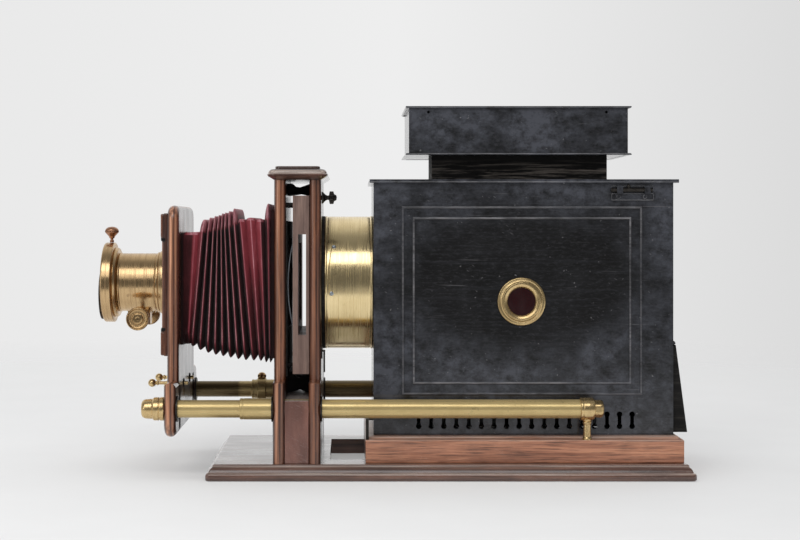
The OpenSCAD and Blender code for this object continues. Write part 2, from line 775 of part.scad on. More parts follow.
module bellows_frame(x0, half, hole) color(steel) difference() {
    block([x0, x0 + bellows_frame_t], [-half, half], [axis_z - half, axis_z + half]);
    block([x0 - 1, x0 + bellows_frame_t + 1], [-hole, hole], [axis_z - hole, axis_z + hole]);
}

module bellows_front_frame()
    bellows_frame(standard_rear, bellows_front - 4, bellows_front - fold_depth - 8);
module bellows_rear_frame()
    bellows_frame(bellows_x1, bellows_rear - 4, bellows_rear - fold_depth - 12);

// Objective

module lens_jacket() color(old_brass) difference() {
    union() {
        turned_x([
            [lens_front, 0], [lens_front, flange_r], [lens_front - 3, flange_r],
            [lens_front - 4, flange_r - 1.6], [lens_front - 12, flange_r - 1.6], [lens_front - 14, jacket_r],
            [jacket_front + 3, jacket_r], [jacket_front + 2.4, jacket_r + 0.9],
            [jacket_front + 0.6, jacket_r + 0.9], [jacket_front, jacket_r], [jacket_front, 0]
        ], 0, axis_z);
        block([pinion_x - box_len / 2, pinion_x + box_len / 2], [-box_w / 2, box_w / 2],
            [pinion_z - 8, axis_z - jacket_r + 6]);
    }
    x_rod(jacket_front - 1, jacket_len + 2, jacket_bore, 0, axis_z);
    block([jacket_front - 1, lens_front + 1], [-rack_slot_w / 2, rack_slot_w / 2],
        [rack_tip_z - 0.6, axis_z]);
    y_rod(-box_w, 2 * box_w, shaft_r + fit, pinion_x, pinion_z);
    y_rod(-rack_slot_w / 2, rack_slot_w, pitch_r + 1.6 * gear_module, pinion_x, pinion_z);
}

module draw_tube() color(brass) difference() {
    x_rod(flare_x, draw_rear - flare_x, draw_r, 0, axis_z);
    x_rod(flare_x - 1, draw_rear - flare_x + 2, draw_r - draw_wall, 0, axis_z);
    rack_seat();
}

module rack_seat() block([jacket_front + 4, draw_rear + 1], [-rack_w / 2, rack_w / 2],
    [axis_z - draw_r - 1, axis_z - draw_r + 0.7]);

// Straight rack: teeth are trapezia of pressure angle 20 degrees, thinned a little for backlash
module focus_rack() color(brass) {
    x0 = jacket_front + 4;
    x1 = draw_rear;
    root = pitch_z + 1.25 * gear_module;
    half_pitch = rack_pitch / 4 - 0.1 * gear_module;
    lean = tan(20);
    count = floor((x1 - x0) / rack_pitch);
    first = pinion_x - rack_pitch * floor((pinion_x - x0 - 2) / rack_pitch);
    along_y(-rack_w / 2, rack_w) union() {
        translate([x0, root]) square([x1 - x0, axis_z - draw_r + 0.7 - root]);
        for (i = [0:count - 1]) let (x = first + rack_pitch * i) if (x + 2 < x1) polygon([
            [x - half_pitch + lean * gear_module, pitch_z - gear_module],
            [x + half_pitch - lean * gear_module, pitch_z - gear_module],
            [x + half_pitch + 1.25 * lean * gear_module, root + 0.01],
            [x - half_pitch - 1.25 * lean * gear_module, root + 0.01]
        ]);
    }
}

module lens_hood() color(old_brass) difference() {
    turned_x([
        [flare_x, draw_r - 4], [flare_x, jacket_r], [flare_x - 1.6, jacket_r + 0.4],
        [flare_x - 2, jacket_r + 3.5], [flare_x - 3.4, jacket_r + 4.4], [flare_x - 3.8, jacket_r + 7],
        [hood_x, hood_r - 1], [hood_x - 0.8, hood_r], [hood_x - hood_len + 1, hood_r],
        [hood_x - hood_len, hood_r - 1], [hood_x - hood_len, hood_r - 4], [hood_x - 1, hood_r - 4],
        [flare_x - 1.5, draw_r - 4]
    ], 0, axis_z);
    x_rod(hood_x - hood_len - 1, 4.6, flasher_pin_r + fit, flasher_pivot_y, axis_z);
}

module lens_elements() color(glass) {
    r = draw_r - draw_wall - fit;
    plano_lens(flare_x + 12, -1, r, 4, 5);
    plano_lens(draw_rear - 4, -1, r, 4, 4);
}

module hood_screw() color(old_brass) turned_z([
    [hood_screw_z + 0.2, 0], [hood_screw_z + 0.2, 2.2], [hood_screw_z + 2.4, 2.2], [hood_screw_z + 3, 1.5],
    [hood_screw_z + 9, 1.5], [hood_screw_z + 11, 5], [hood_screw_z + 12, 7.3], [hood_screw_z + 15, 7.3],
    [hood_screw_z + 16.5, 4], [hood_screw_z + 17, 0]
], hood_x - 2.4, 0);

module flasher() color(steel) {
    front = flasher_x - flasher_t;
    translate([0, flasher_pivot_y, axis_z]) rotate([flasher_droop, 0, 0]) {
        x_rod(front, flasher_t, flasher_r, -flasher_arm);
        block([front, flasher_x], [flasher_r - flasher_arm - 2, 0], [-3, 3]);
        x_rod(front, flasher_t, 4.5);
        x_rod(front - 1.2, 1.3, 2.4);
        x_rod(flasher_x - 0.1, hood_x - hood_len + 3.1 - flasher_x, flasher_pin_r);
    }
}

// Involute of the base circle at roll angle a, in degrees
function involute(rb, a) = [rb * (cos(a) + a * PI / 180 * sin(a)), rb * (sin(a) - a * PI / 180 * cos(a))];
function turn(p, a) = [p[0] * cos(a) - p[1] * sin(a), p[0] * sin(a) + p[1] * cos(a)];

// Pinion outline: involute flanks from the base circle to the tip, with a gap facing the rack
module pinion_outline() {
    rb = pitch_r * cos(20);
    tip = pitch_r + 0.9 * gear_module;
    tip_roll = sqrt(pow(tip / rb, 2) - 1) * 180 / PI;
    pitch_roll = tan(20) * 180 / PI;
    half = 90 / pinion_teeth - 1.2 + (pitch_roll - 20);
    flank = [for (i = [0:4]) involute(rb, tip_roll * i / 4)];
    tooth = concat([[0, 0]], [for (p = flank) turn(p, -half)],
        [for (i = [4:-1:0]) turn([flank[i][0], -flank[i][1]], half)]);
    union() {
        circle(r = pitch_r - 1.25 * gear_module, $fn = 40);
        for (k = [0:pinion_teeth - 1]) rotate(360 / pinion_teeth * (k + 0.5) + 90) polygon(tooth);
    }
}

module focus_pinion() color(brass) {
    translate([pinion_x, rack_w / 2, pinion_z]) rotate([90, 0, 0]) linear_extrude(rack_w) pinion_outline();
    y_rod(-knob_y + 2, 2 * knob_y - 4, shaft_r, pinion_x, pinion_z);
    for (side = [-1, 1]) turned_y([
        [side * (knob_y - 14), 0], [side * (knob_y - 14), 3.4], [side * (knob_y - 9), 3.4],
        [side * (knob_y - 8), 5], [side * (knob_y - 7), knob_r - 1], [side * (knob_y - 6), knob_r],
        [side * (knob_y - 1.4), knob_r], [side * (knob_y - 0.6), knob_r - 1.2],
        [side * knob_y, knob_r - 3.6], [side * (knob_y - 1), knob_r - 5], [side * (knob_y - 1), 0]
    ], pinion_x, pinion_z);
}

// Lamphouse

module dumbbell_hole(x) {
    for (dz = [0, -vent_drop]) translate([x, vent_z + dz]) circle(r = vent_r);
    translate([x - vent_neck / 2, vent_z - vent_drop]) square([vent_neck, vent_drop]);
}

module side_outline() difference() {
    translate([house_front, house_z]) square([house_len, house_h]);
    for (i = [0:vents - 1]) dumbbell_hole(vent_x + vent_pitch * i);
}

// A pressed bead round a rectangle, inset by d from the panel's edge
module bead(d) difference() {
    translate([panel_x[0] + d, panel_z[0] + d])
        square([panel_x[1] - panel_x[0] - 2 * d, panel_z[1] - panel_z[0] - 2 * d]);
    translate([panel_x[0] + d + bead_w, panel_z[0] + d + bead_w])
        square([panel_x[1] - panel_x[0] - 2 * (d + bead_w), panel_z[1] - panel_z[0] - 2 * (d + bead_w)]);
}

module lamphouse_near_side() color(black_iron) difference() {
    union() {
        along_y(-side_y, sheet_t) side_outline();
        for (d = [0, panel_step]) along_y(-side_y - bead_h, bead_h + 0.1) bead(d);
    }
    y_rod(-side_y - 2, sheet_t + 4, window_r + 2, ring_x0, window_z);
}

module lamphouse_far_side() color(black_iron) {
    along_y(side_y - sheet_t, sheet_t) difference() {
        side_outline();
        translate([panel_x[0] + panel_step, panel_z[0] + panel_step])
            square([panel_x[1] - panel_x[0] - 2 * panel_step, panel_z[1] - panel_z[0] - 2 * panel_step]);
    }
    for (z = door_hinge_z) {
        translate([door_hinge_x, door_hinge_y, z - 8]) cylinder(h = door_knuckle + 16, r = door_pin_r);
        for (dz = [-8, door_knuckle + 0.3]) {
            translate([door_hinge_x, door_hinge_y, z + dz]) cylinder(h = 7.7, r = hinge_r);
            block([door_hinge_x - 9, door_hinge_x], [side_y - 0.1, side_y + 1.4], [z + dz, z + dz + 7.7]);
        }
    }
}

module lamphouse_ends() color(black_iron) {
    y = side_y - sheet_t;
    difference() {
        block([house_front, house_front + sheet_t], [-y, y], [house_z, house_top]);
        x_rod(house_front - 1, sheet_t + 2, drum_bore - 4, 0, axis_z);
    }
    difference() {
        block([house_rear - sheet_t, house_rear], [-y, y], [house_z, house_top]);
        block([house_rear - sheet_t - 1, house_rear + 1], [-opening_w / 2, opening_w / 2],
            [house_z + 2, house_z + rear_opening_h]);
    }
    y_rod(1 - flap_w / 2, flap_w - 2, flap_pin_r, flap_pin_x, flap_z);
    for (y0 = [1 - flap_w / 2, -8, flap_w / 2 - 6])
        block([house_rear, flap_pin_x], [y0, y0 + (y0 == -8 ? 16 : 5)], [flap_z - 1, flap_z + 1]);
}

// The floor sheet with its air holes, and the two grooved runners for the lamp tray
module lamphouse_floor() color(black_iron) {
    y = side_y - sheet_t;
    difference() {
        block([house_front + sheet_t, house_rear - sheet_t], [-y, y], [house_z, floor_top]);
        for (i = [0:5], side = [-1, 1])
            translate([house_front + 55 + i * 40, side * 24, house_z - 1]) cylinder(h = sheet_t + 2, r = 9);
    }
    for (side = [-1, 1]) scale([1, side, 1]) {
        x = [tray_x - 16, house_rear - sheet_t];
        block(x, [tray_w / 2 + 0.3, tray_w / 2 + runner_w], [floor_top, tray_z + tray_t + 2]);
        block(x, [tray_w / 2 - 3, tray_w / 2 + 1], [tray_z + tray_t + 0.4, tray_z + tray_t + 2]);
    }
}

module lamphouse_roof() color(black_iron) difference() {
    block([house_front - roof_out, house_rear + roof_out + 1], [-side_y - roof_out, side_y + roof_out],
        [house_top, roof_top]);
    block([house_front + 1, house_rear - 1], [1 - side_y, side_y - 1], [house_top - 1, roof_top - sheet_t]);
    block([neck_x, neck_x + neck_len], [-neck_w / 2, neck_w / 2], [house_top - 1, roof_top + 1]);
}

// A turned ring round the ruby glass, standing out from the wall towards dir
module sight_ring(wall, dir) turned_y([
    [wall, window_r + 1.2], [wall, window_ring_r], [wall + dir * 1.4, window_ring_r],
    [wall + dir * 2.2, window_ring_r - 1.5], [wall + dir * 2.2, window_ring_r - 4],
    [wall + dir * 3.6, window_ring_r - 5], [wall + dir * 3.6, window_r + 3], [wall + dir * 1.6, window_r],
    [wall + dir * 0.8, window_r], [wall + dir * 0.8, window_r + 1.2]
], ring_x0, window_z);

module window_ring() color(brass) sight_ring(-side_y, -1);

module ruby_glass() color(ruby) y_rod(-side_y - 0.7, 2, window_r + 1.1, ring_x0, window_z);

module bolt_plate() color(black_iron) {
    x = bolt_x + 4;
    difference() {
        union() {
            block([x, x + 38], [-side_y - 1, -side_y], [house_top - 17, house_top - 11.5]);
            for (dx = [2, 30])
                block([x + dx, x + dx + 6], [-side_y - 5, -side_y], [house_top - 11.6, house_top - 3]);
        }
        x_rod(x - 1, 50, bolt_r + fit, bolt_y, bolt_z);
    }
    for (dx = [4, 31]) y_rod(-side_y - 1.8, 1, 1.6, x + dx, house_top - 14.2);
}

module side_bolt() color(black_iron) {
    x_rod(bolt_x, 42, bolt_r, bolt_y, bolt_z);
    translate([bolt_x + 18, bolt_y, bolt_z]) cylinder(h = 5, r = 1.4);
    translate([bolt_x + 18, bolt_y, bolt_z + 4]) sphere(r = 2);
}

module lamp_door() color(black_iron) {
    difference() {
        union() {
            along_y(door_y, sheet_t) translate([panel_x[0], panel_z[0]])
                square([panel_x[1] - panel_x[0], panel_z[1] - panel_z[0]]);
            for (d = [0, panel_step]) along_y(door_y + sheet_t - 0.1, bead_h + 0.1) bead(d);
        }
        y_rod(door_y - 1, sheet_t + 4, window_r + 2, ring_x0, window_z);
    }
    for (z = door_hinge_z) difference() {
        union() {
            translate([door_hinge_x, door_hinge_y, z]) cylinder(h = door_knuckle, r = hinge_r);
            block([door_hinge_x, panel_x[0] + 8], [door_y + sheet_t - 0.1, door_y + sheet_t + 1],
                [z, z + door_knuckle]);
        }
        translate([door_hinge_x, door_hinge_y, z - 1]) cylinder(h = door_knuckle + 2, r = door_pin_r + fit);
    }
    turned_y([
        [door_y + sheet_t - 0.1, 0], [door_y + sheet_t - 0.1, 4], [door_y + 4, 3], [door_y + 8, 3],
        [door_y + 10, 7], [door_y + 14, 7], [door_y + 15.5, 5], [door_y + 15.5, 0]
    ], panel_x[1] - 14, door_knob_z);
}

module door_window() color(brass) sight_ring(door_y + sheet_t, 1);

module door_glass() color(ruby) y_rod(door_y + sheet_t - 1.3, 2, window_r + 1.1, ring_x0, window_z);

module chimney_neck() color(black_iron) difference() {
    block([neck_x, neck_x + neck_len], [-neck_w / 2, neck_w / 2], [house_top + 0.5, neck_top]);
    block([neck_x + sheet_t, neck_x + neck_len - sheet_t], [sheet_t - neck_w / 2, neck_w / 2 - sheet_t],
        [house_top - 1, neck_top + 1]);
}

module chimney_cowl() color(black_iron) {
    x = [cowl_x, cowl_x + cowl_len];
    y = cowl_w / 2;
    top = cowl_z + cowl_h;
    difference() {
        block(x, [-y, y], [cowl_z, top - 1]);
        block([x[0] + sheet_t, x[1] - sheet_t], [sheet_t - y, y - sheet_t], [cowl_z - 1, top]);
        for (hx = [x[0] + 20, x[1] - 22]) y_rod(-y - 1, sheet_t + 2, 1.4, hx, top - 6);
    }
    block([x[0] - cowl_rim, x[1] + cowl_rim], [-y - cowl_rim, y + cowl_rim], [top - 1, top]);
    difference() {
        block([x[0] - cowl_rim, x[1] + cowl_rim], [-y - cowl_rim, y + cowl_rim], [cowl_z, cowl_z + 1]);
        block([x[0] + 0.2, x[1] - 0.2], [0.2 - y, y - 0.2], [cowl_z - 1, cowl_z + 2]);
    }
    for (sx = [neck_x + 30, neck_x + neck_len - 30 - strap_w])
        block([sx, sx + strap_w], [0.4 - y, y - 0.4], [neck_top, neck_top + 1.5]);
}

// A wedge that hangs over the rear opening: sloping sheet, two cheeks and its hinge barrel
module rear_flap() color(black_iron) {
    foot_x = house_rear + flap_out;
    difference() {
        along_y(-flap_w / 2, flap_w) polygon([
            [house_rear + 0.4, flap_z - 4], [flap_pin_x - 0.2, flap_z - 1.7],
            [flap_pin_x + sheet_t - 0.2, flap_z - 1.7], [foot_x, flap_foot], [house_rear + 0.4, flap_foot]
        ]);
        along_y(sheet_t - flap_w / 2, flap_w - 2 * sheet_t) polygon([
            [house_rear - 1, flap_z - 5], [flap_pin_x - 0.4, flap_z - 5],
            [foot_x - sheet_t - 0.2, flap_foot - 1], [house_rear - 1, flap_foot - 1]
        ]);
    }
    for (y = [-flap_w / 2 + 8, flap_w / 2 - 38]) difference() {
        y_rod(y, 30, 2, flap_pin_x, flap_z);
        y_rod(y - 1, 32, flap_pin_r + fit, flap_pin_x, flap_z);
    }
}

// Lamp

module lamp_tray() color(steel) {
    difference() {
        block([tray_x, tray_x + tray_len], [-tray_w / 2, tray_w / 2], [tray_z, tray_z + tray_t]);
        translate([rod_x, 0, tray_z - 1]) cylinder(h = 4, r = 2);
    }
    turned_z([
        [tray_z + tray_t, 0], [tray_z + tray_t, 12], [tray_z + tray_t + 4, 12],
        [tray_z + tray_t + 6, rod_r], [tray_z + rod_h, rod_r], [tray_z + rod_h + 2, 2],
        [tray_z + rod_h + 2, 0]
    ], rod_x, 0);
    translate([tray_x + tray_len - 6, 0, tray_z]) cylinder(h = 14, r = 5);
}

module lime_burner() color(brass) {
    jet_y = -11;
    difference() {
        union() {
            block([rod_x - 12, rod_x + 12], [-14, 10], [saddle_z - 12, saddle_z + 12]);
            x_rod(lime_x, rod_x - 12 - lime_x, 3, 0, saddle_z);
            translate([lime_x, 0, saddle_z - 4]) cylinder(h = 8, r = 4.5);
            x_rod(lime_x - jet_back, rod_x - 12 - lime_x + jet_back, 2.5, jet_y, saddle_z);
            for (y = [-6, 6]) x_rod(rod_x + 11, 46, 3, y, saddle_z);
        }
        translate([rod_x, 0, saddle_z - 13]) cylinder(h = 26, r = rod_r + fit);
        for (y = [-6, 6]) translate([tap_x, y, saddle_z - 4]) cylinder(h = 8, r = tap_r + fit);
        translate([lime_x, 0, saddle_z - 5]) cylinder(h = 10, r = spindle_r + fit);
    }
    translate([lime_x - jet_back + 1, jet_y, saddle_z]) rotate([0, 24, 40]) {
        cylinder(h = 20, r1 = 2.4, r2 = 1.6);
        sphere(r = 2.5);
    }
}

module lime_spindle() color(chalk) {
    foot_z = saddle_z - spindle_drop;
    translate([lime_x, 0, foot_z]) cylinder(h = lime_z - foot_z + 1, r = spindle_r);
    translate([lime_x, 0, foot_z - spindle_knob_h + 1]) cylinder(h = spindle_knob_h, r = spindle_knob_r);
    translate([lime_x, 0, saddle_z + 4.3]) cylinder(h = lime_z - saddle_z - 4.3, r = 5);
    translate([lime_x, 0, lime_z]) cylinder(h = lime_h, r = lime_r);
}

module gas_tap(y) color(old_brass) {
    translate([tap_x, y, saddle_z - 6]) cylinder(h = 13, r = tap_r);
    block([tap_x - 1.5, tap_x + 1.5], [y - 2.2, y + 2.2], [saddle_z + 6, saddle_z + 16]);
    translate([tap_x, y, saddle_z - 6.6]) cylinder(h = 2, r = 2.4);
}

module oxygen_tap() gas_tap(-6);
module hydrogen_tap() gas_tap(6);

base_board();
plinth();
stage_front_board();
stage_rear_board();
stage_block();
stage_cap();
gate_plate();
gate_guide_pins();
slide_frame();
bow_springs();
stage_screw();
stage_hook();
plinth_catch();
condenser_drum();
condenser_cell();
condenser_lenses();
outer_tubes();
tube_sleeves();
tube_plates();
tube_pillars();
tube_clamp_screw();
inner_tubes();
tube_cap_nuts();
front_standard();
standard_plates();
lens_board();
ball_screw_near();
ball_screw_far();
standard_fasteners();
bellows();
bellows_front_frame();
bellows_rear_frame();
lens_jacket();
draw_tube();
focus_rack();
lens_hood();
lens_elements();
hood_screw();
flasher();
focus_pinion();
lamphouse_near_side();
lamphouse_far_side();
lamphouse_ends();
lamphouse_floor();
lamphouse_roof();
window_ring();
ruby_glass();
side_bolt();
bolt_plate();
lamp_door();
door_window();
door_glass();
chimney_neck();
chimney_cowl();
rear_flap();
lamp_tray();
lime_burner();
lime_spindle();
oxygen_tap();
hydrogen_tap();
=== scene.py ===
"""Projection lantern: its visible surfaces and finishes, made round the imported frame.

Shapes are worked out in millimetres and become metres when a mesh is made. X runs along the optical
axis with the objective at -X, and Z is up. A surface is an array of rows of points: a profile turned
round an axis, or a stack of outlines. Colours are on the 0-255 display scale.
"""
import json

import bmesh
import bpy
import numpy as np
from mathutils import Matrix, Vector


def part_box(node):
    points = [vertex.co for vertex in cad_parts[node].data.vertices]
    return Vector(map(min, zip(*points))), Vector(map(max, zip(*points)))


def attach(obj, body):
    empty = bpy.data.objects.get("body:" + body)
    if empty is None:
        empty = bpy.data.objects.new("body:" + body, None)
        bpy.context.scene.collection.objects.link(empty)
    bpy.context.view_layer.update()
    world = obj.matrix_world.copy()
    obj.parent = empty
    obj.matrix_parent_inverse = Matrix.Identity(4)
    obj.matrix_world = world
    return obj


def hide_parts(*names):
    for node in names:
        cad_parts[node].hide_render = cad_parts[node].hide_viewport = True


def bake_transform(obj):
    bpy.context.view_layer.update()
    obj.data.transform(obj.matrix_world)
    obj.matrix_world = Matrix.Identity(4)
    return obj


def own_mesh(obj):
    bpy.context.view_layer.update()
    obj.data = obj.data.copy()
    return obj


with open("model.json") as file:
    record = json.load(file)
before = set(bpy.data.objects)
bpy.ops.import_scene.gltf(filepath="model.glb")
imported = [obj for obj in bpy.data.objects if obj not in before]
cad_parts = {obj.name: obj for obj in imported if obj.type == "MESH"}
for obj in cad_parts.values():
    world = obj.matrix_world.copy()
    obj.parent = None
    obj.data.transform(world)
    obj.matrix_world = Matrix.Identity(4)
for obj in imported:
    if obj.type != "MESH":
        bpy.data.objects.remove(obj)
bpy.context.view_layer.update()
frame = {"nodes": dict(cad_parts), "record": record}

MM = 0.001
BODY_OF = {node: body for body, nodes in frame["record"]["behaviour"]["bodies"].items() for node in nodes}


def span(node):
    """Lowest and highest corner of a CAD node, in millimetres."""
    lo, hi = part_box(node)
    return np.array(lo) / MM, np.array(hi) / MM


def middle(node):
    return sum(span(node)) / 2


# Sizes that the frame gives, and the few that its boxes don't show

TUBE_R = 9.5
SLIDING_R = 8.85
JACKET_R = 30.8
GLASS_R = 14.2
CONDENSER_R = 59
SHEET = 0.9
BOARD_HALF = 80
EAR_TOP = 97
AXIS_Z = middle("condenser_drum")[2]
TUBE_Y = span("outer_tubes")[1][1] - TUBE_R
TUBE_Z = middle("outer_tubes")[2]
WINDOW = middle("ruby_glass")
NEAR_AND_FAR = [(side * TUBE_Y, TUBE_Z) for side in (-1, 1)]

# Points along each side and round each corner of an outline
SIDE_STEPS, CORNER_STEPS = 10, 7


# Profiles and outlines

def moved(points, along=0.0, out=0.0):
    """Points of a profile, moved along its axis and outward."""
    return [(a + along, b + out) for a, b in points]


def soften(points, radius, steps=4):
    """Each corner of a line of points becomes a curve: (1-t)^2 a + 2t(1-t) p + t^2 b, where a and b lie
    radius from the corner p, or half way along a short side."""
    points = np.asarray(points, float)
    out = [points[:1]]
    t = np.linspace(0, 1, steps + 1)[:, None]
    for before, p, after in zip(points[:-2], points[1:-1], points[2:]):
        a, b = (p + (end - p) * min(radius / max(np.linalg.norm(end - p), 1e-9), 0.48)
                for end in (before, after))
        out.append((1 - t) ** 2 * a + 2 * t * (1 - t) * p + t ** 2 * b)
    out.append(points[-1:])
    return np.concatenate(out)


def plain_edge(z0, z1, inset, radius):
    """Softened square edge of a board, as (inset, height)."""
    return soften([(inset, z0), (0, z0), (0, z1), (inset, z1)], radius)


def quarter_round(a, b, steps=8):
    """A quarter of an ellipse from a to b that leaves a along the second coordinate."""
    t = np.linspace(0, np.pi / 2, steps + 1)
    return np.stack([a[0] + (b[0] - a[0]) * (1 - np.cos(t)), a[1] + (b[1] - a[1]) * np.sin(t)], 1)


def crest(values, at, width):
    """1 where the values meet a place and less away from it, as a bell curve."""
    return np.exp(-((values - at) / width) ** 2)


def smooth_step(values, a, b):
    t = np.clip((values - a) / (b - a), 0, 1)
    return t * t * (3 - 2 * t)


def unit_circle(t):
    return np.stack([np.cos(t), np.sin(t)], 1)


def rect_loop(lo, hi, radii, side=SIDE_STEPS):
    """A rectangle with round corners, anticlockwise from the right: four quarter circles joined by sides."""
    lo, hi = np.asarray(lo, float), np.asarray(hi, float)
    radii = np.clip(np.broadcast_to(radii, 4), 0.02, (hi - lo).min() * 0.499)
    centre, half = (lo + hi) / 2, (hi - lo) / 2
    arcs = []
    for k, signs in enumerate(np.array([(1, 1), (-1, 1), (-1, -1), (1, -1)])):
        t = np.pi / 2 * (k + np.linspace(0, 1, CORNER_STEPS))
        arcs.append(centre + signs * (half - radii[k]) + radii[k] * unit_circle(t))
    t = np.linspace(0, 1, side + 2)[1:-1, None]
    return np.concatenate([part for k in range(4)
                           for part in (arcs[k], arcs[k][-1] + (arcs[(k + 1) % 4][0] - arcs[k][-1]) * t)])


def square_hole(half, radius):
    """Outline of a square window round the optical axis."""
    return rect_loop((-half, AXIS_Z - half), (half, AXIS_Z + half), radius)


def circle_loop(centre, radius):
    """A circle with as many points as a rectangle's loop, in step with it."""
    count = 4 * (SIDE_STEPS + CORNER_STEPS)
    t = (np.arange(count) - (CORNER_STEPS - 1) / 2) * 2 * np.pi / count + np.pi / 4
    return np.asarray(centre) + radius * unit_circle(t)


# Surfaces

def grid(points, closed=False, caps=False, wear_and_painted_light=0.0):
    """A shell whose rows close on themselves; each four neighbouring points make a face. The value that
    holds wearing, painted light and painted shade is one number, one for each row, or one for each point."""
    rows, cols = points.shape[:2]
    index = np.arange(rows * cols).reshape(rows, cols)
    nxt = np.roll(index, -1, axis=0)
    quads = np.stack([index, np.roll(index, -1, 1), np.roll(nxt, -1, 1), nxt], -1)
    faces = (quads if closed else quads[:-1]).reshape(-1, 4).tolist()
    if caps:
        faces += [index[0][::-1].tolist(), index[-1].tolist()]
    wear_and_painted_light = np.asarray(wear_and_painted_light, float)
    wear_and_painted_light = np.broadcast_to(wear_and_painted_light if wear_and_painted_light.ndim == 2 else wear_and_painted_light.reshape(-1, 1), (rows, cols))
    return points.reshape(-1, 3), faces, wear_and_painted_light.reshape(-1)


def turned(profile, axis, centre, flutes=0, depth=0.0, cut=(0, 0), steps=96, closed=False, round_by=0.4):
    """A profile of (place, radius) points turned round an axis, joined end to end if closed. Where the place
    lies within cut, depth * (1 - cos(flutes * angle)) / 2 comes off the radius, which makes a milled edge."""
    profile = soften([*profile, profile[0]] if closed else profile, round_by)
    steps = flutes * 6 or steps
    angle = np.arange(steps) * 2 * np.pi / steps
    place, radius = profile[:, :1], np.repeat(profile[:, 1:2], steps, 1)
    milled = (place > min(cut)) & (place < max(cut))
    radius = np.maximum(radius - milled * depth * (1 - np.cos(flutes * angle)) / 2, 0)
    first, second, third = {"x": (0, 1, 2), "y": (1, 0, 2), "z": (2, 0, 1)}[axis]
    points = np.empty((len(profile), steps, 3))
    points[..., first] = place
    points[..., second] = radius * np.cos(angle) + centre[0]
    points[..., third] = radius * np.sin(angle) + centre[1]
    return grid(points, closed=closed, caps=not closed)


def stand_up(loop, height, axis):
    """Points in a plane across the axis, at a height on it."""
    return np.insert(loop, "xyz".index(axis), height, axis=1)


def slab(lo, hi, radii, profile, axis, hole=None, wear_and_painted_light=None, side=SIDE_STEPS):
    """A board across an axis. Each profile point is (inset, height), or (inset, second inset, height), and
    draws the outline in by the insets at that height. A hole's loop joins both faces through the board."""
    profile = np.asarray(profile, float)
    if profile.shape[1] == 2:
        profile = profile[:, [0, 0, 1]]
    lo, hi, radii = np.asarray(lo, float), np.asarray(hi, float), np.broadcast_to(radii, 4)
    rows = [stand_up(rect_loop(lo + p[:2], hi - p[:2], radii - min(p[0], p[1]), side), p[2], axis)
            for p in profile]
    wear_and_painted_light = np.zeros(len(rows)) if wear_and_painted_light is None else np.asarray(wear_and_painted_light, float)
    if hole is not None:
        rows = [stand_up(hole, profile[0][2], axis), *rows, stand_up(hole, profile[-1][2], axis)]
        wear_and_painted_light = np.concatenate([[0], wear_and_painted_light, [0]])
    return grid(np.stack(rows), closed=hole is not None, caps=hole is None, wear_and_painted_light=wear_and_painted_light)


def block(lo, hi, round_by=0.6, corner=0.6):
    """A box with softened edges."""
    return slab(lo[:2], hi[:2], corner, plain_edge(lo[2], hi[2], round_by * 2, round_by), "z", side=1)


def bead(lo, hi, section, axis, height, corner=0.3, wear_and_painted_light=0.0):
    """A moulding round a rectangle: each section point (out, up) moves the outline out and lifts it."""
    rows = [stand_up(rect_loop(np.subtract(lo, out), np.add(hi, out), corner), height + up, axis)
            for out, up in section]
    return grid(np.stack(rows), closed=True, wear_and_painted_light=wear_and_painted_light)


def sheet_cut(outline, y0, y1):
    """A flat outline of (x, z) points given a thickness along Y."""
    outline = np.asarray(outline, float)
    return grid(np.stack([stand_up(outline, y0, "y"), stand_up(outline, y1, "y")]), caps=True)


def wire(path, radius, steps=10):
    """A round wire: a circle across the path at each of its points, which don't run along X."""
    ahead = np.gradient(path, axis=0)
    ahead /= np.linalg.norm(ahead, axis=1, keepdims=True)
    side = np.cross(ahead, (1, 0, 0))
    side /= np.linalg.norm(side, axis=1, keepdims=True)
    t = (np.arange(steps) * 2 * np.pi / steps)[:, None]
    rings = path[:, None] + radius * (np.cos(t) * side[:, None] + np.sin(t) * np.cross(side, ahead)[:, None])
    return grid(rings, caps=True)


def mesh_of(name, shells, sharp):
    """One mesh of some shells, in metres, with merged doubles, outward faces and, on its points, the value
    that holds wearing, painted light and painted shade.
    """
    points, faces, wear_and_painted_light = zip(*shells)
    starts = np.cumsum([0] + [len(part) for part in points])
    faces = [[i + start for i in face] for part, start in zip(faces, starts) for face in part]
    mesh = bpy.data.meshes.new(name)
    mesh.from_pydata((np.concatenate(points) * MM).tolist(), [], faces)
    wear_and_painted_light = np.concatenate(wear_and_painted_light).astype(np.float32)
    mesh.attributes.new("wear_and_painted_light", "FLOAT", "POINT").data.foreach_set("value", wear_and_painted_light)
    form = bmesh.new()
    form.from_mesh(mesh)
    bmesh.ops.remove_doubles(form, verts=form.verts, dist=2e-6)
    bmesh.ops.dissolve_degenerate(form, edges=form.edges, dist=1e-7)
    bmesh.ops.recalc_face_normals(form, faces=form.faces)
    form.to_mesh(mesh)
    form.free()
    mesh.shade_smooth()
    mesh.set_sharp_from_angle(angle=np.radians(sharp))
    return mesh


def put(name, data):
    """Adds an object to the scene."""
    obj = bpy.data.objects.new(name, data)
    bpy.context.collection.objects.link(obj)
    return obj


def piece(name, shells, slot, body, node=None, look=None, sharp=35):
    """Makes one object. It rides on a body, takes its finish from a slot, and may stand for a CAD node."""
    obj = put(name, mesh_of(name, shells, sharp))
    obj.data.materials.append(MATERIALS[look or slot])
    if body:
        even = obj.modifiers.new("even_shading", "WEIGHTED_NORMAL")
        even.keep_sharp = True
        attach(obj, body)
    if node:
        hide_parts(node)
    return obj


def stand_in(name, shells, slot, node, look=None, sharp=35):
    """A piece that stands for one CAD node and rides with it."""
    return piece(name, shells, slot, BODY_OF[node], node, look, sharp)


# Finishes

def linear(colour, factor=1.0):
    """A display colour as linear RGBA, darkened by a factor."""
    c = np.array(colour) / 255
    return tuple(factor * np.where(c <= 0.04045, c / 12.92, ((c + 0.055) / 1.055) ** 2.4)) + (1.0,)


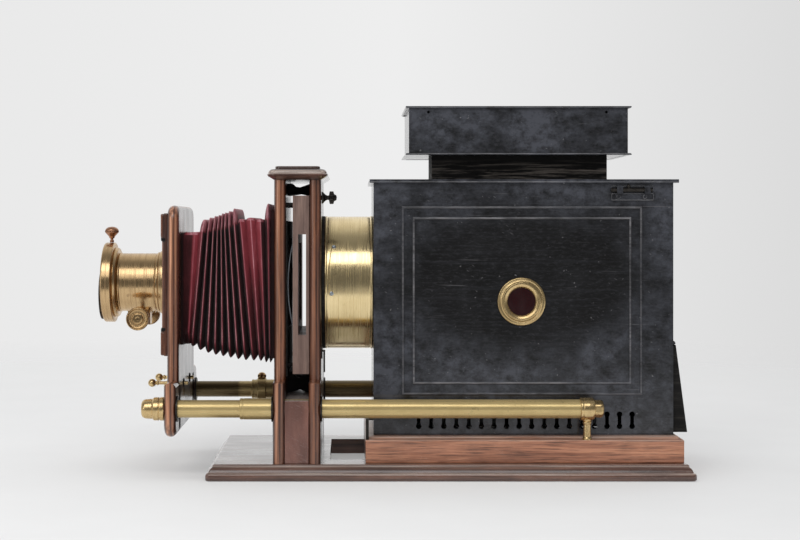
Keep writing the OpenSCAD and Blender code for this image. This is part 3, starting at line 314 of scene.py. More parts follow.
class Nodes:
    """Short calls that add shader nodes to a tree and give their outputs."""

    def __init__(self, tree):
        self.tree = tree

    def add(self, kind, inputs=None, **settings):
        node = self.tree.nodes.new("ShaderNode" + kind)
        for key, value in settings.items():
            setattr(node, key, value)
        for key, value in (inputs or {}).items():
            if isinstance(value, bpy.types.NodeSocket):
                self.tree.links.new(value, node.inputs[key])
            else:
                node.inputs[key].default_value = value
        return node.outputs

    def ramp(self, fac, stops):
        out = self.add("ValToRGB", {"Fac": fac})
        elements = out[0].node.color_ramp.elements
        while len(elements) < len(stops):
            elements.new(0.5)
        for element, (at, colour) in zip(elements, stops):
            element.position = at
            element.color = linear(colour)
        return out[0]

    def math(self, kind, a, b=0.0, c=0.5):
        return self.add("Math", {0: a, 1: b, 2: c}, operation=kind)[0]

    def times(self, a, b):
        return self.math("MULTIPLY", a, b)

    def remap(self, value, a, b, to_a, to_b):
        return self.add("MapRange", {0: value, 1: a, 2: b, 3: to_a, 4: to_b})[0]

    def share(self, fac, a, b):
        """Shader a, or b where fac is 1."""
        return self.add("MixShader", {0: fac, 1: a, 2: b})[0]


class Finish(Nodes):
    """A material with constant values on its shader's sockets, and patterns on Object coordinates."""

    def __init__(self, name, **sockets):
        self.material = bpy.data.materials.new(name)
        self.material.use_nodes = True
        super().__init__(self.material.node_tree)
        self.shader = self.tree.nodes["Principled BSDF"]
        for key, value in sockets.items():
            self.shader.inputs[key.replace("_", " ")].default_value = value
        self.place = self.add("TexCoord")["Object"]

    def stretched(self, scale, turn=(0, 0, 0), move=(0, 0, 0)):
        """Object coordinates turned, then multiplied by scale, per metre."""
        size = tuple(1 / s for s in (scale if np.ndim(scale) else (scale,) * 3))
        return self.add("Mapping", {"Vector": self.place, "Scale": size, "Rotation": turn, "Location": move},
                        vector_type="TEXTURE")[0]

    def noise(self, scale, detail=4.0, rough=0.55, twist=0.0, turn=(0, 0, 0), move=(0, 0, 0)):
        return self.add("TexNoise", {"Vector": self.stretched(scale, turn, move), "Scale": 1.0,
                                     "Detail": detail, "Roughness": rough, "Distortion": twist})[0]

    def vector(self, kind, a, b=(0, 0, 0)):
        return self.add("VectorMath", {0: a, 1: b}, operation=kind)

    def part(self, axis):
        """One of the Object coordinates."""
        return self.add("SeparateXYZ", {0: self.place})[axis]

    def mix(self, fac, a, b, darker=1.0):
        """From a, a colour or a socket, to colour b made darker by a factor."""
        first = a if isinstance(a, bpy.types.NodeSocket) else linear(a)
        return self.add("Mix", {0: fac, 6: first, 7: linear(b, darker)}, data_type="RGBA")[2]

    def wear_and_painted_light(self):
        return self.add("Attribute", attribute_name="wear_and_painted_light")["Fac"]

    def scratches(self, turns, along, across, cut):
        """Hair-fine scratches: the peaks of noise drawn out along each turned line, here and there."""
        here = self.remap(self.noise(17, 3, 0.6, move=(0.3, 0.7, 0.2)), 0.5, 0.6, 0, 1)
        total = None
        for k, turn in enumerate(turns):
            lines = self.noise((along, across, across), 0, 0.4, turn=turn, move=(0.11 * k, 0.05, 0.07 * k))
            lines = self.remap(lines, cut, cut + 0.05, 0, 1)
            total = lines if total is None else self.math("MAXIMUM", total, lines)
        return self.times(total, here)

    def finish(self, colour=None, rough=None, bumps=()):
        """Joins the worked-out values to the shader. bumps are (height, distance in mm, strength)."""
        normal = None
        for height, distance, strength in bumps:
            inputs = {"Height": height, "Distance": distance * MM, "Strength": strength}
            if normal:
                inputs["Normal"] = normal
            normal = self.add("Bump", inputs)[0]
        for value, name in ((colour, "Base Color"), (rough, "Roughness"), (normal, "Normal")):
            if value:
                self.tree.links.new(value, self.shader.inputs[name])
        return self.material


def wood(name, tones, rubbed_and_lit_tone, grain, figure, pores, varnish, gloss):
    """Polished wood: broad figure, fine dark pores and grime, drawn out along the grain's axis. It is paler
    where the point's value is above 0, from rubbing and painted highlight, and darker with painted shade
    where it is below."""
    def drawn(across, along):
        return tuple(along if k == grain else across for k in range(3))

    dark, plain, light = tones
    f = Finish(name, Coat_Weight=varnish, Coat_Roughness=0.16)
    bands = f.noise(drawn(figure, 7), 5, 0.72, 0.5)
    fine = f.noise(drawn(700, 30), 3, 0.6)
    darkening = f.noise(drawn(34, 12), 4, 0.6, move=(0.31, 0.17, 0.53))
    colour = f.ramp(bands, [(0.34, dark), (0.5, plain), (0.66, light)])
    colour = f.mix(f.remap(fine, 0.52, 0.64, 0, pores), colour, dark, 0.4)
    colour = f.mix(f.remap(darkening, 0.45, 0.68, 0, 0.5), colour, dark, 0.6)
    streaky = f.remap(f.noise(drawn(420, 9), 3, 0.6, move=(0.2, 0.6, 0.1)), 0.36, 0.6, 1, 0.25)
    # Painted shade where the point's value is below 0, and rubbing with painted highlight where it is above.
    colour = f.mix(f.remap(f.wear_and_painted_light(), 0, -1, 0, 0.9), colour, dark, 0.35)
    colour = f.mix(f.times(f.remap(f.wear_and_painted_light(), 0, 1, 0, 1), streaky), colour, rubbed_and_lit_tone)
    marks = f.scratches([(0.3, 0.2, 0.5), (1.1, 0.4, 0.1)], 16, 1300, 0.7)
    colour = f.mix(f.times(marks, 0.08), colour, rubbed_and_lit_tone)
    rough = f.remap(darkening, 0.35, 0.7, gloss, gloss + 0.2)
    return f.finish(colour, rough, [(bands, 0.25, 0.2), (fine, 0.08, 0.3)])


def japanned_iron():
    """Black varnish on sheet iron: wiped along X, hazy with dust except round the sight glass, with hair-fine
    scratches, specks, and bright edges from rubbing that on the beads and trims are partly painted highlight."""
    f = Finish("japanned_iron", Coat_Weight=0.75, Coat_Roughness=0.08, Specular_IOR_Level=0.2)
    cloud = f.noise(21, 6, 0.66, 0.4)
    wiped = f.noise((10, 210, 330), 5, 0.66, 0.2)
    mottle = f.noise((70, 110, 90), 7, 0.74)
    colour = f.ramp(cloud, [(0.36, (5, 5, 5)), (0.54, (9, 9, 10)), (0.72, (22, 22, 24))])
    off_glass = f.vector("SUBTRACT", f.place, tuple(WINDOW * MM + (0, 0, 0.022)))[0]
    away = f.vector("LENGTH", f.vector("MULTIPLY", off_glass, (8, 0, 14.5))[0])["Value"]
    pale_share = f.times(f.remap(away, 0.8, 1.35, 0.02, 0.6), f.remap(mottle, 0.34, 0.66, 0.1, 1.6))
    pale_share = f.times(pale_share, f.remap(cloud, 0.38, 0.62, 0.5, 1.5))
    colour = f.mix(pale_share, colour, (70, 72, 79))
    speckle = f.noise((130, 400, 420), 5, 0.76, move=(0.7, 0.1, 0.3))
    colour = f.mix(f.remap(speckle, 0.5, 0.66, 0, 0.2), colour, (86, 86, 90))
    colour = f.mix(f.remap(wiped, 0.52, 0.76, 0, 0.26), colour, (62, 63, 69))
    lines = f.scratches([(0, 0.5, 0.2), (0, 0.02, 0)], 14, 900, 0.8)
    specks = f.remap(f.noise(300, 1, 0.5, move=(0.4, 0.2, 0.9)), 0.76, 0.82, 0, 1)
    colour = f.mix(f.math("MAXIMUM", f.times(lines, 0.25), f.times(specks, 0.4)), colour, (150, 148, 150))
    # Bright edges from the point's value: rubbing, and on the beads and trims partly painted highlight.
    rub_and_painted_light = f.times(f.wear_and_painted_light(), f.remap(f.noise((60, 300, 300), 3, 0.6), 0.35, 0.6, 0.25, 1))
    rub_and_painted_light = f.times(rub_and_painted_light, f.remap(f.noise(14, 2, 0.5, move=(0.3, 0.8, 0.2)), 0.36, 0.6, 0.35, 1))
    colour = f.mix(rub_and_painted_light, colour, (140, 138, 140))
    rough = f.remap(cloud, 0.3, 0.75, 0.34, 0.5)
    return f.finish(colour, rough, [(cloud, 0.5, 0.12), (wiped, 0.05, 0.2)])


def black_iron_and_shade():
    """Dull black inside the gate and on the neck, with wiped streaks just over the roof that fade out below
    the cowl, leaving the neck's top dark as painted shade. On several pieces this black is painted shade.
    """
    f = Finish("black_iron_and_shade", Specular_IOR_Level=0.25)
    soot = f.noise(160, 4, 0.6)
    colour = f.ramp(soot, [(0.35, (12, 11, 10)), (0.7, (27, 25, 24))])
    height = f.part("Z")
    near_roof = f.times(f.remap(height, 0.3, 0.302, 0.1, 1), f.remap(height, 0.324, 0.313, 0, 1))
    streaks = f.remap(f.noise((14, 150, 300), 5, 0.7), 0.48, 0.64, 0, 0.8)
    colour = f.mix(f.times(streaks, near_roof), colour, (126, 118, 110))
    return f.finish(colour, f.remap(soot, 0.3, 0.7, 0.6, 0.8), [(soot, 0.2, 0.3)])


def metal(name, bright, dull, stain, rough, tarnish, grain, uneven=0.12, metallic=1.0, far_side_shade=0.0):
    """Worked metal: fine marks drawn out by the grain, which shift its colour and gloss, cloudy tarnish and a
    few stains. With the far-side shade set, painted shade darkens the far side toward the stain tone, less so
    between X -77 and -10 mm."""
    f = Finish(name, Metallic=metallic)
    marks = f.noise(grain, 5, 0.66)
    cloud = f.noise(30, 5, 0.6, 0.4)
    spots = f.noise(120, 3, 0.6, move=(0.4, 0.1, 0.6))
    colour = f.mix(f.remap(cloud, 0.45 - 0.15 * tarnish, 0.75, 0, 0.3 + 0.6 * tarnish), bright, dull)
    colour = f.mix(f.remap(marks, 0.45, 0.68, 0, 0.25 + 0.5 * tarnish), colour, dull)
    colour = f.mix(f.remap(spots, 0.66, 0.76, 0, 0.25 + 0.5 * tarnish), colour, stain)
    # Painted shade: the far side is darkened toward the stain tone, less so between X -77 and -10 mm.
    if far_side_shade:
        spot = f.add("SeparateXYZ", {0: f.place})
        shade_share = f.math("MAXIMUM", f.remap(spot["X"], -0.077, -0.073, 1, 0.3),
                           f.remap(spot["X"], -0.02, -0.01, 0.3, 1))
        colour = f.mix(f.times(f.remap(spot["Y"], 0, 0.08, 0, far_side_shade), shade_share), colour, stain)
    gloss = f.math("ADD", f.remap(cloud, 0.3, 0.7, rough, rough + 0.06),
                   f.remap(marks, 0.36, 0.66, 0, uneven))
    return f.finish(colour, gloss, [(marks, 0.02, 0.12)])


def bellows_leather():
    """Maroon leather. Its point value sets the tone: black in the folds as painted shade, red on open panels
    as painted light, pale on the ridges from rubbing, dust and a painted highlight. Fine pebbles give its
    grain."""
    f = Finish("bellows_leather", Sheen_Weight=0.05, Sheen_Roughness=0.5, Specular_IOR_Level=0.15)
    pebbles = f.add("TexVoronoi", {"Vector": f.stretched(1400), "Scale": 1.0})["Distance"]
    cloud = f.noise(70, 4, 0.62)
    rub_and_painted_light = f.noise((260, 260, 60), 4, 0.66)
    level = f.times(f.wear_and_painted_light(), f.remap(rub_and_painted_light, 0.3, 0.66, 0.8, 1.1))
    level = f.math("ADD", level, f.remap(cloud, 0.3, 0.7, -0.03, 0.04))
    colour = f.ramp(level, [(0, (27, 9, 10)), (0.12, (58, 19, 22)), (0.5, (138, 56, 64)),
                            (0.78, (158, 96, 104)), (1, (206, 152, 156))])
    return f.finish(colour, f.remap(cloud, 0.3, 0.7, 0.45, 0.62), [(pebbles, 0.1, 0.3), (rub_and_painted_light, 0.25, 0.25)])


def glass(name, colour, rough, through):
    """Old glass, with a little dust that makes it less clear in patches."""
    f = Finish(name, Base_Color=colour, Transmission_Weight=through, IOR=1.5)
    return f.finish(None, f.remap(f.noise(90, 4, 0.6), 0.45, 0.75, rough, rough + 0.12))


def lime():
    """Burnt lime: chalky, pitted, scorched a little."""
    f = Finish("lime")
    pits = f.noise(420, 5, 0.6)
    colour = f.ramp(pits, [(0.35, (196, 186, 164)), (0.6, (232, 226, 212))])
    return f.finish(colour, f.remap(pits, 0.3, 0.7, 0.75, 0.95), [(pits, 0.4, 0.5)])


# Dark, plain and light tone, pale tone for rubbing and painted highlight, the grain's axis, figure, pores,
# varnish, gloss
WOODS = {
    "mahogany": (((50, 24, 16), (90, 50, 33), (136, 82, 53)), (204, 142, 106), 2, 130, 0.4, 0.7, 0.24),
    "plain_mahogany": (((84, 51, 43), (117, 74, 62), (140, 93, 78)), (206, 198, 192), 2, 30, 0.08, 0.8, 0.25),
    "base_mahogany": (((70, 46, 38), (100, 68, 56), (130, 94, 78)), (202, 186, 174), 0, 130, 0.4, 1.0, 0.2),
    "walnut": (((120, 70, 46), (172, 112, 82), (204, 142, 106)), (206, 186, 172), 0, 250, 0.75, 0.4, 0.3),
    "frame_walnut": (((100, 78, 70), (122, 97, 87), (140, 114, 102)), (178, 150, 132), 2, 60, 0.3, 0.1, 0.5),
}
# Bright, dull and stained tone, roughness, tarnish, grain, and what differs from the usual after that
METALS = {
    "dark_steel": ((74, 71, 68), (40, 36, 33), (30, 22, 18), 0.36, 0.6, 240),
    "brass": ((226, 198, 146), (186, 156, 106), (112, 86, 54), 0.22, 0.3, 240, 0.06),
    # The tubes are painted darker on the far side, as painted shade.
    "tube_brass": ((214, 190, 134), (182, 158, 106), (64, 50, 32), 0.21, 0.3, (8, 420, 420), 0.12, 0.6, 0.8),
    "solder": ((190, 197, 204), (128, 134, 140), (70, 72, 76), 0.25, 0.4, 260),
    "drum_brass": ((248, 226, 176), (206, 180, 126), (150, 122, 78), 0.09, 0.3, (900, 16, 16), 0.2),
    "old_brass": ((216, 184, 138), (164, 134, 98), (92, 68, 46), 0.13, 0.4, (800, 16, 16), 0.2),
    "knob_brass": ((200, 168, 122), (156, 124, 86), (86, 62, 42), 0.2, 0.4, 200, 0.06),
    "worn_copper": ((186, 138, 108), (140, 98, 76), (82, 56, 42), 0.24, 0.4, 200, 0.06),
}
MATERIALS = {
    **{name: wood(name, *values) for name, values in WOODS.items()},
    **{name: metal(name, *values) for name, values in METALS.items()},
    "japanned_iron": japanned_iron(),
    "black_iron_and_shade": black_iron_and_shade(),
    "bellows_leather": bellows_leather(),
    "ruby_glass": glass("ruby_glass", linear((40, 5, 9)), 0.12, 0.12),
    "clear_glass": glass("clear_glass", (0.97, 0.98, 0.97, 1), 0.02, 1.0),
    "lime": lime(),
}


# Wooden pieces

def base_board():
    """Moulded slab with an air opening between the stage and the plinth."""
    lo, hi = span("base_board")
    air_front, air_rear, air_half = span("stage_rear_board")[1][0] + 8.7, span("plinth")[0][0], 76
    edge = np.concatenate([
        [(2.2, 0), (1, 0.2), (0, 1.6), (0, 4.6)], quarter_round((0, 4.6), (2.4, 7.8)),
        [(3, 8), (3.4, 9), (4.2, 10.5), (5.4, 12), (6.6, 13), (7, 13.2), (7, 13.9)],
        quarter_round((7.1, 14.1), (8.8, hi[2])), [(9.6, hi[2])]])
    z = edge[:, 1]
    # Painted highlights along three bands of the moulding, and painted shade along two, one of them at the
    # foot.
    rub_and_painted_light = 0.8 * crest(z, 7.4, 0.8) + 0.65 * crest(z, 14, 0.6) + 0.25 * crest(z, 15.8, 0.5)
    rub_and_painted_light -= 0.5 * crest(z, 9.8, 1.2) + 0.5 * crest(z, 1.4, 1.2)
    hole = rect_loop((air_front, -air_half), (air_rear, air_half), 0.8)
    board = slab(lo[:2], hi[:2], 5, edge, "z", hole, rub_and_painted_light)
    stand_in("base_slab", [board], "mahogany", "base_board", "base_mahogany")


def plinth():
    """Open frame of walnut rails with a thin strip that the lamphouse stands on."""
    lo, hi = span("plinth")
    top = span("tube_pillars")[0][2]
    rail, strip_half = 38, 87.2
    hole = rect_loop((lo[0] + rail, lo[1] + rail), (hi[0] - rail, hi[1] - rail), 1)
    edge = plain_edge(lo[2], top, 1.6, 1.1)
    # A painted highlight runs along the rails' top edge, and the strip is painted pale all over as painted
    # light.
    rub_and_painted_light = 0.7 * crest(edge[:, 1], top - 0.4, 0.5)
    strip = soften([(1, top - 0.2), (0, top - 0.2), (0, hi[2]), (1.4, hi[2])], 0.6)
    shells = [slab(lo[:2], hi[:2], 1.2, edge, "z", hole, rub_and_painted_light),
              slab((lo[0] + 3, -strip_half), (hi[0] - 3, strip_half), 1, strip, "z", hole,
                   np.ones(len(strip)))]
    stand_in("plinth_rails", shells, "walnut", "plinth")


def eared_board(name, node, hole, top_radius=0.5, foot_radius=0.5, all_round=False, worn_and_lit=1.0):
    """A board across the axis with a half-round nose and two ears at its foot, each bored for its tube. The
    nose is partly pale from rubbing and partly a painted highlight, left of its middle, with painted shade
    where it meets the faces."""
    lo, hi = span(node)
    half, ear_w = (hi[0] - lo[0]) / 2, 26
    t = np.linspace(-np.pi / 2, np.pi / 2, 27)
    inset, x = half * (1 - np.cos(t)), half * np.sin(t)
    edge = np.stack([inset, inset if all_round else 0.25 * inset / half, lo[0] + half + x], 1)
    # The crests are rubbing and painted highlight, and the dips are painted shade.
    rub_and_painted_light = worn_and_lit * (crest(x, -1.6, 2.2) + 0.5 * crest(x, 3.0, 1.1)) - 0.6 * crest(x, 1.1, 0.5)
    rub_and_painted_light -= 0.8 * crest(x, half - 0.4, 1.2) + 0.7 * crest(x, 0.3 - half, 0.9)
    radii = (top_radius, top_radius, 0.5, 0.5)
    shells = [slab((-BOARD_HALF, lo[2]), (BOARD_HALF, hi[2]), radii, edge, "x", hole, rub_and_painted_light)]
    for side in (-1, 1):
        a, b = sorted((side * (BOARD_HALF - ear_w), side * hi[1]))
        radii = (1, 1, foot_radius, 1) if side < 0 else (1, 1, 1, foot_radius)
        bore = circle_loop((side * TUBE_Y, TUBE_Z), TUBE_R + 0.1)
        shells.append(slab((a, lo[2]), (b, EAR_TOP), radii, edge, "x", bore, rub_and_painted_light))
    stand_in(name, shells, "mahogany", node)


def stage():
    """Front and rear boards, the block between them and the moulded cap."""
    eared_board("gate_front_board", "stage_front_board", square_hole(50, 0.8))
    # The rear board takes less rubbing and painted highlight, so it reads darker.
    eared_board("gate_rear_board", "stage_rear_board", circle_loop((0, AXIS_Z), CONDENSER_R), worn_and_lit=0.4)
    lo, hi = span("stage_block")
    side = plain_edge(lo[2], hi[2], 1.6, 0.8)
    # The top face is painted pale, as painted light.
    pale_share = np.interp(side[:, 1], [hi[2] - 0.3, hi[2]], [0, 1])
    foot = slab(lo[:2], hi[:2], 0.6, side, "z", None, pale_share)
    stand_in("gate_foot_block", [foot], "mahogany", "stage_block", "plain_mahogany")
    lo, hi = span("stage_cap")
    base, lid_base, darkening = lo[2], hi[2] - 3, -0.8
    edge = np.concatenate([
        [(8, base), (6.8, base)], np.flip(quarter_round((6.6, base + 0.4), (0.6, base + 3.6)), 0),
        [(0, base + 4.4), (0, base + 5.6), (0.8, base + 6.2)],
        quarter_round((1, base + 6.4), (5.6, lid_base - 0.2)), [(7.5, lid_base)]])
    lid = np.concatenate([[(2, lid_base - 0.2), (0, lid_base - 0.2)],
                          quarter_round((0, lid_base + 1.4), (1.3, hi[2])), [(3, hi[2])]])
    # Painted shade on the underside and on the top edge and lid, and a painted reflection on the shoulder.
    rub_and_painted_light = np.interp(edge[:, 1] - base, [0, 1.4, 2, 4, 5.6, 6.6, 9.4, 9.9, 11],
                    [-1, -1, -0.3, 0, 0, 0.9, 0.9, darkening, darkening])
    shells = [slab(lo[:2], hi[:2], 10, edge, "z", None, rub_and_painted_light),
              slab(lo[:2] + 8, hi[:2] - 8, 6, lid, "z", None, np.full(len(lid), darkening))]
    stand_in("moulded_cap", shells, "mahogany", "stage_cap", "base_mahogany")


def gate_irons_and_shade_sheet():
    """Waisted black irons over and under the slide frame, in the middle of the gate. The lower one also
    stands for the shade at the gate's foot, as painted shade.
    """
    block_lo, block_hi = span("stage_block")
    frame_lo, frame_hi = span("slide_frame")
    x0, half_length = block_lo[0], 28
    shells = []
    for z0, z1 in ((frame_hi[2] + 1.3, frame_hi[2] + 13.5), (block_hi[2] - 0.2, frame_lo[2] - 1.3)):
        # Each point is (x, share of the rise); those of the upper side are measured down from the top
        upper = [(0, 0), (5, 0), (8, -0.26), (13, -0.32), (18, -0.18), (block_hi[0] - x0, 0)]
        lower = [(block_hi[0] - x0, 0), (18, 0.06), (13, 0.16), (7, 0.08), (0, 0)]
        waist = [(x0 + x, z + share * (z1 - z0)) for z, line in ((z1, upper), (z0, lower))
                 for x, share in line]
        shells.append(sheet_cut(waist, -half_length, half_length))
    piece("gate_irons_and_shade_sheet", shells, "dark_steel", "stand", look="black_iron_and_shade")


def bow_strips():
    """Two spring strips that give way as the frame presses: x = plate + rise * s^2, for s from -1 to 1 up
    the gate."""
    lo, hi = span("bow_springs")
    half, thick, width = (hi[2] - lo[2]) / 2 - 1, 0.7, 9
    s = np.linspace(-1, 1, 33)
    x = lo[0] + thick / 2 + 0.05 + (hi[0] - lo[0] - thick - 0.1) * s ** 2
    corners = np.array([(-1, 1), (1, 1), (1, -1), (-1, -1)]) * (thick / 2, width / 2)
    strips = []
    for y in (lo[1] + width / 2, hi[1] - width / 2):
        rings = np.empty((len(s), 4, 3))
        rings[:, :, 0] = x[:, None] + corners[:, 0]
        rings[:, :, 1] = y + corners[:, 1]
        rings[:, :, 2] = (middle("bow_springs")[2] + half * s)[:, None]
        strips.append(grid(rings, caps=True))
    strip = stand_in("bow_spring_strips", strips, "dark_steel", "bow_springs", "solder")
    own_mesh(strip)


def pressure_plate():
    """Blackened plate that the springs press on, with a square window."""
    lo, hi = span("gate_plate")
    face = soften([(0.6, lo[0]), (0, lo[0] + 0.2), (0, hi[0] - 0.2), (0.6, hi[0])], 0.2)
    plate = slab((lo[1], lo[2]), (hi[1], AXIS_Z + 65), 2, face, "x", square_hole(47, 1))
    stand_in("gate_pressure_plate", [plate], "dark_steel", "gate_plate", "black_iron_and_shade")


def standard():
    """Front standard, and the lens board with its stepped edge and the cleats across its ends."""
    # The standard's nose takes more rubbing and painted highlight than the boards.
    eared_board("lens_standard", "front_standard", circle_loop((0, AXIS_Z), 52), 16, 16, True, 1.3)
    lo, hi = span("lens_board")
    front, rear = lo[0], hi[0]
    edge = soften([(6, front + 0.6), (3.2, front + 0.6), (2.9, front + 2.4), (0, front + 2.8), (0, rear),
                   (2, rear)], 0.7)
    rub_and_painted_light = 0.5 * crest(edge[:, 1], front + 0.9, 0.5)
    cleat_w, cleat_front = 25.5, front - 0.6
    cleat = soften([(3.4, cleat_front), (1.4, cleat_front), (0.6, cleat_front + 0.9), (0.6, rear - 1)], 0.8)
    shells = [slab(lo[1:], hi[1:], 1.5, edge, "x", circle_loop((0, AXIS_Z), 30.2), rub_and_painted_light)]
    for z0, z1 in ((lo[2], lo[2] + cleat_w), (hi[2] - cleat_w, hi[2])):
        shells.append(slab((lo[1], z0), (hi[1], z1), 2.5, cleat, "x"))
    stand_in("stepped_lens_board", shells, "mahogany", "lens_board")
    # Black blocks at the cleats' inner ends paint the shade in their notches.
    notches = [block((cleat_front + 1.6, y - 1.4, z), (rear - 2, y + 1.4, z + 3.4), 0.4, 0.4)
               for y in (lo[1] + 1.2, hi[1] - 1.2) for z in (lo[2] + cleat_w, hi[2] - cleat_w - 3.4)]
    piece("cleat_notch_shade", notches, "dark_steel", BODY_OF["lens_board"], look="black_iron_and_shade")


def standard_fittings():
    """Round sunk nuts at the back of the standard and the screws that hold the lens board."""
    lo, hi = span("lens_board")
    back = span("front_standard")[1][0]
    nut = moved([(-0.2, 0), (-0.2, 5), (0.5, 5), (0.8, 4.4), (0.4, 2.6), (0.4, 0)], back)
    head = moved([(0.8, 0), (0.8, 3), (-0.3, 2.8), (-0.9, 1.6), (-0.9, 0)], lo[0])
    shells = [turned(nut, "x", middle(node)[1:], steps=40, round_by=0.2)
              for node in ("ball_screw_near", "ball_screw_far")]
    shells += [turned(head, "x", (y, z), steps=28, round_by=0.3)
               for y in (lo[1] + 8, hi[1] - 8) for z in (lo[2] + 26, hi[2] - 26)]
    stand_in("standard_nuts_and_screws", shells, "dark_steel", "standard_fasteners", "black_iron_and_shade")


# Brass pieces

def drum():
    """Condenser drum between the stage and the lamphouse, with a rolled bead at each end, a black ring behind
    the stage that paints the shade of the gap there, and a wire that hangs from one pin to the other on the
    near side."""
    lo, hi = span("condenser_drum")
    r = (hi[2] - lo[2]) / 2 - 0.8
    x0, x1 = lo[0] + 3, hi[0]
    shell = [(x0, CONDENSER_R), *moved([(0, -0.2), (0.7, 0.5), (1.9, 0.6), (2.6, -0.2), (3.6, 0)], x0, r),
             *moved([(-3.6, 0), (-2.8, -0.1), (-2, 0.7), (-0.8, 0.7), (0, -0.2), (0, -1.5)], x1, r),
             (x0 + 1.5, r - 1.5), (x0 + 1.5, CONDENSER_R)]
    stand_in("drum_shell", [turned(shell, "x", (0, AXIS_Z), steps=160, closed=True)], "brass",
             "condenser_drum", "drum_brass")
    ring = [(lo[0], CONDENSER_R), (lo[0], r + 0.4), (x0, r + 0.4), (x0, CONDENSER_R)]
    pins, ends = [], []
    for pin_x, pin_z in ((lo[0] + 12.7, AXIS_Z + 37.8), (lo[0] + 10.4, AXIS_Z - 9)):
        pin_y = -np.sqrt(r ** 2 - (pin_z - AXIS_Z) ** 2)
        pin = moved([(1, 0), (1, 2.6), (0.1, 2.4), (-0.5, 1.3), (-0.7, 0)], pin_y)
        pins.append(turned(pin, "y", (pin_x, pin_z), steps=24, round_by=0.3))
        ends.append((pin_x - 2, np.arctan2(pin_z - AXIS_Z, -pin_y)))
    way = np.linspace(0, 1, 24)
    x, turn = (start + (end - start) * way for start, end in zip(*ends))
    out = r + 0.3
    path = np.stack([x - 1.6 * np.sin(np.pi * way), -out * np.cos(turn), AXIS_Z + out * np.sin(turn)], 1)
    piece("drum_gap_shade_ring", [turned(ring, "x", (0, AXIS_Z), steps=128, closed=True)], "dark_steel", "stand",
          look="black_iron_and_shade")
    piece("drum_pins", pins, "dark_steel", "stand", look="solder")
    piece("drum_wire", [wire(path, 0.35)], "brass", "stand")


def both_sides(profile, **options):
    """A profile turned round the near and the far tube's axis."""
    return [turned(profile, "x", centre, **options) for centre in NEAR_AND_FAR]


def pipe(x0, x1, inner, outer, **options):
    """A pipe on each side, from x0 to x1."""
    return both_sides([(x0, inner), (x0, outer), (x1, outer), (x1, inner)], closed=True, steps=64, **options)


def tubes():
    """Fixed and sliding tubes, their sleeves, plates, clamp and cap nuts, on both sides."""
    for name, node, outer, wall in (("fixed_tubes", "outer_tubes", TUBE_R, 0.6),
                                    ("sliding_tubes", "inner_tubes", SLIDING_R, 0.8)):
        lo, hi = span(node)
        stand_in(name, pipe(lo[0], hi[0], outer - wall, outer), "brass", node, "tube_brass")
    lo, hi = span("tube_sleeves")
    sleeve = moved([(0, 8.9), (0, 10.2), (0.7, 10.6), (2.6, 10.6), (3, 10.3), (3.6, 10.3), (4, 10.6),
                    (hi[0] - lo[0], 10.6), (hi[0] - lo[0], 9.55), (1.2, 9.55), (1.2, 8.9)], lo[0])
    sleeves = both_sides(sleeve, closed=True, steps=64, round_by=0.3)
    screw_lo, screw_hi = span("tube_clamp_screw")
    clamp_x, foot, top = middle("tube_clamp_screw")[0], screw_lo[2], screw_hi[2] - 2.4
    collar = moved([(-5, 10.4), (-5, 12.4), (-4.2, 12.8), (4.2, 12.8), (5, 12.4), (5, 10.4)], clamp_x)
    sleeves.append(turned(collar, "x", NEAR_AND_FAR[1], closed=True, steps=64))
    stand_in("stage_sleeves", sleeves, "old_brass", "tube_sleeves", "tube_brass")
    head = moved([(-8, 2), (-7.6, 3.4), (-5.6, 4.8), (-3.2, 4.8), (-0.6, 2.6), (0, 0)], top)
    milled = turned([(foot, 0), (foot, 2), *head], "z", (clamp_x, TUBE_Y), 20, 0.5, (top - 5.8, top - 3),
                    round_by=0.5)
    stand_in("clamp_thumbscrew", [milled], "old_brass", "tube_clamp_screw", "knob_brass")
    lo, hi = span("tube_plates")
    plates = pipe(lo[0], lo[0] + 1.5, 10.65, 13, round_by=0.35)
    plates += pipe(hi[0] - 1.5, hi[0], 9.55, 13, round_by=0.35)
    stand_in("stage_tube_plates", plates, "dark_steel", "tube_plates")
    lo, hi = span("standard_plates")
    plates = pipe(lo[0], hi[0], 8.9, 13, round_by=0.35)
    stand_in("standard_tube_plates", plates, "dark_steel", "standard_plates")
    x = span("tube_cap_nuts")[1][0]
    nut = moved([(0, 8.9), (0, 11.2), (-0.8, 11.8), (-4.4, 11.8), (-4.8, 11.1), (-5.5, 11.1), (-5.9, 11.7),
                 (-10.6, 11.6), (-11.6, 10.6), (-12.2, 9.9), (-12.8, 10.1), (-19.6, 9.6), (-21.8, 8.6),
                 (-23, 7), (-23.4, 0)], x)
    nuts = both_sides(nut, flutes=44, depth=0.3, cut=(x - 8.6, x - 6.6))
    stand_in("milled_cap_nuts", nuts, "old_brass", "tube_cap_nuts", "brass")


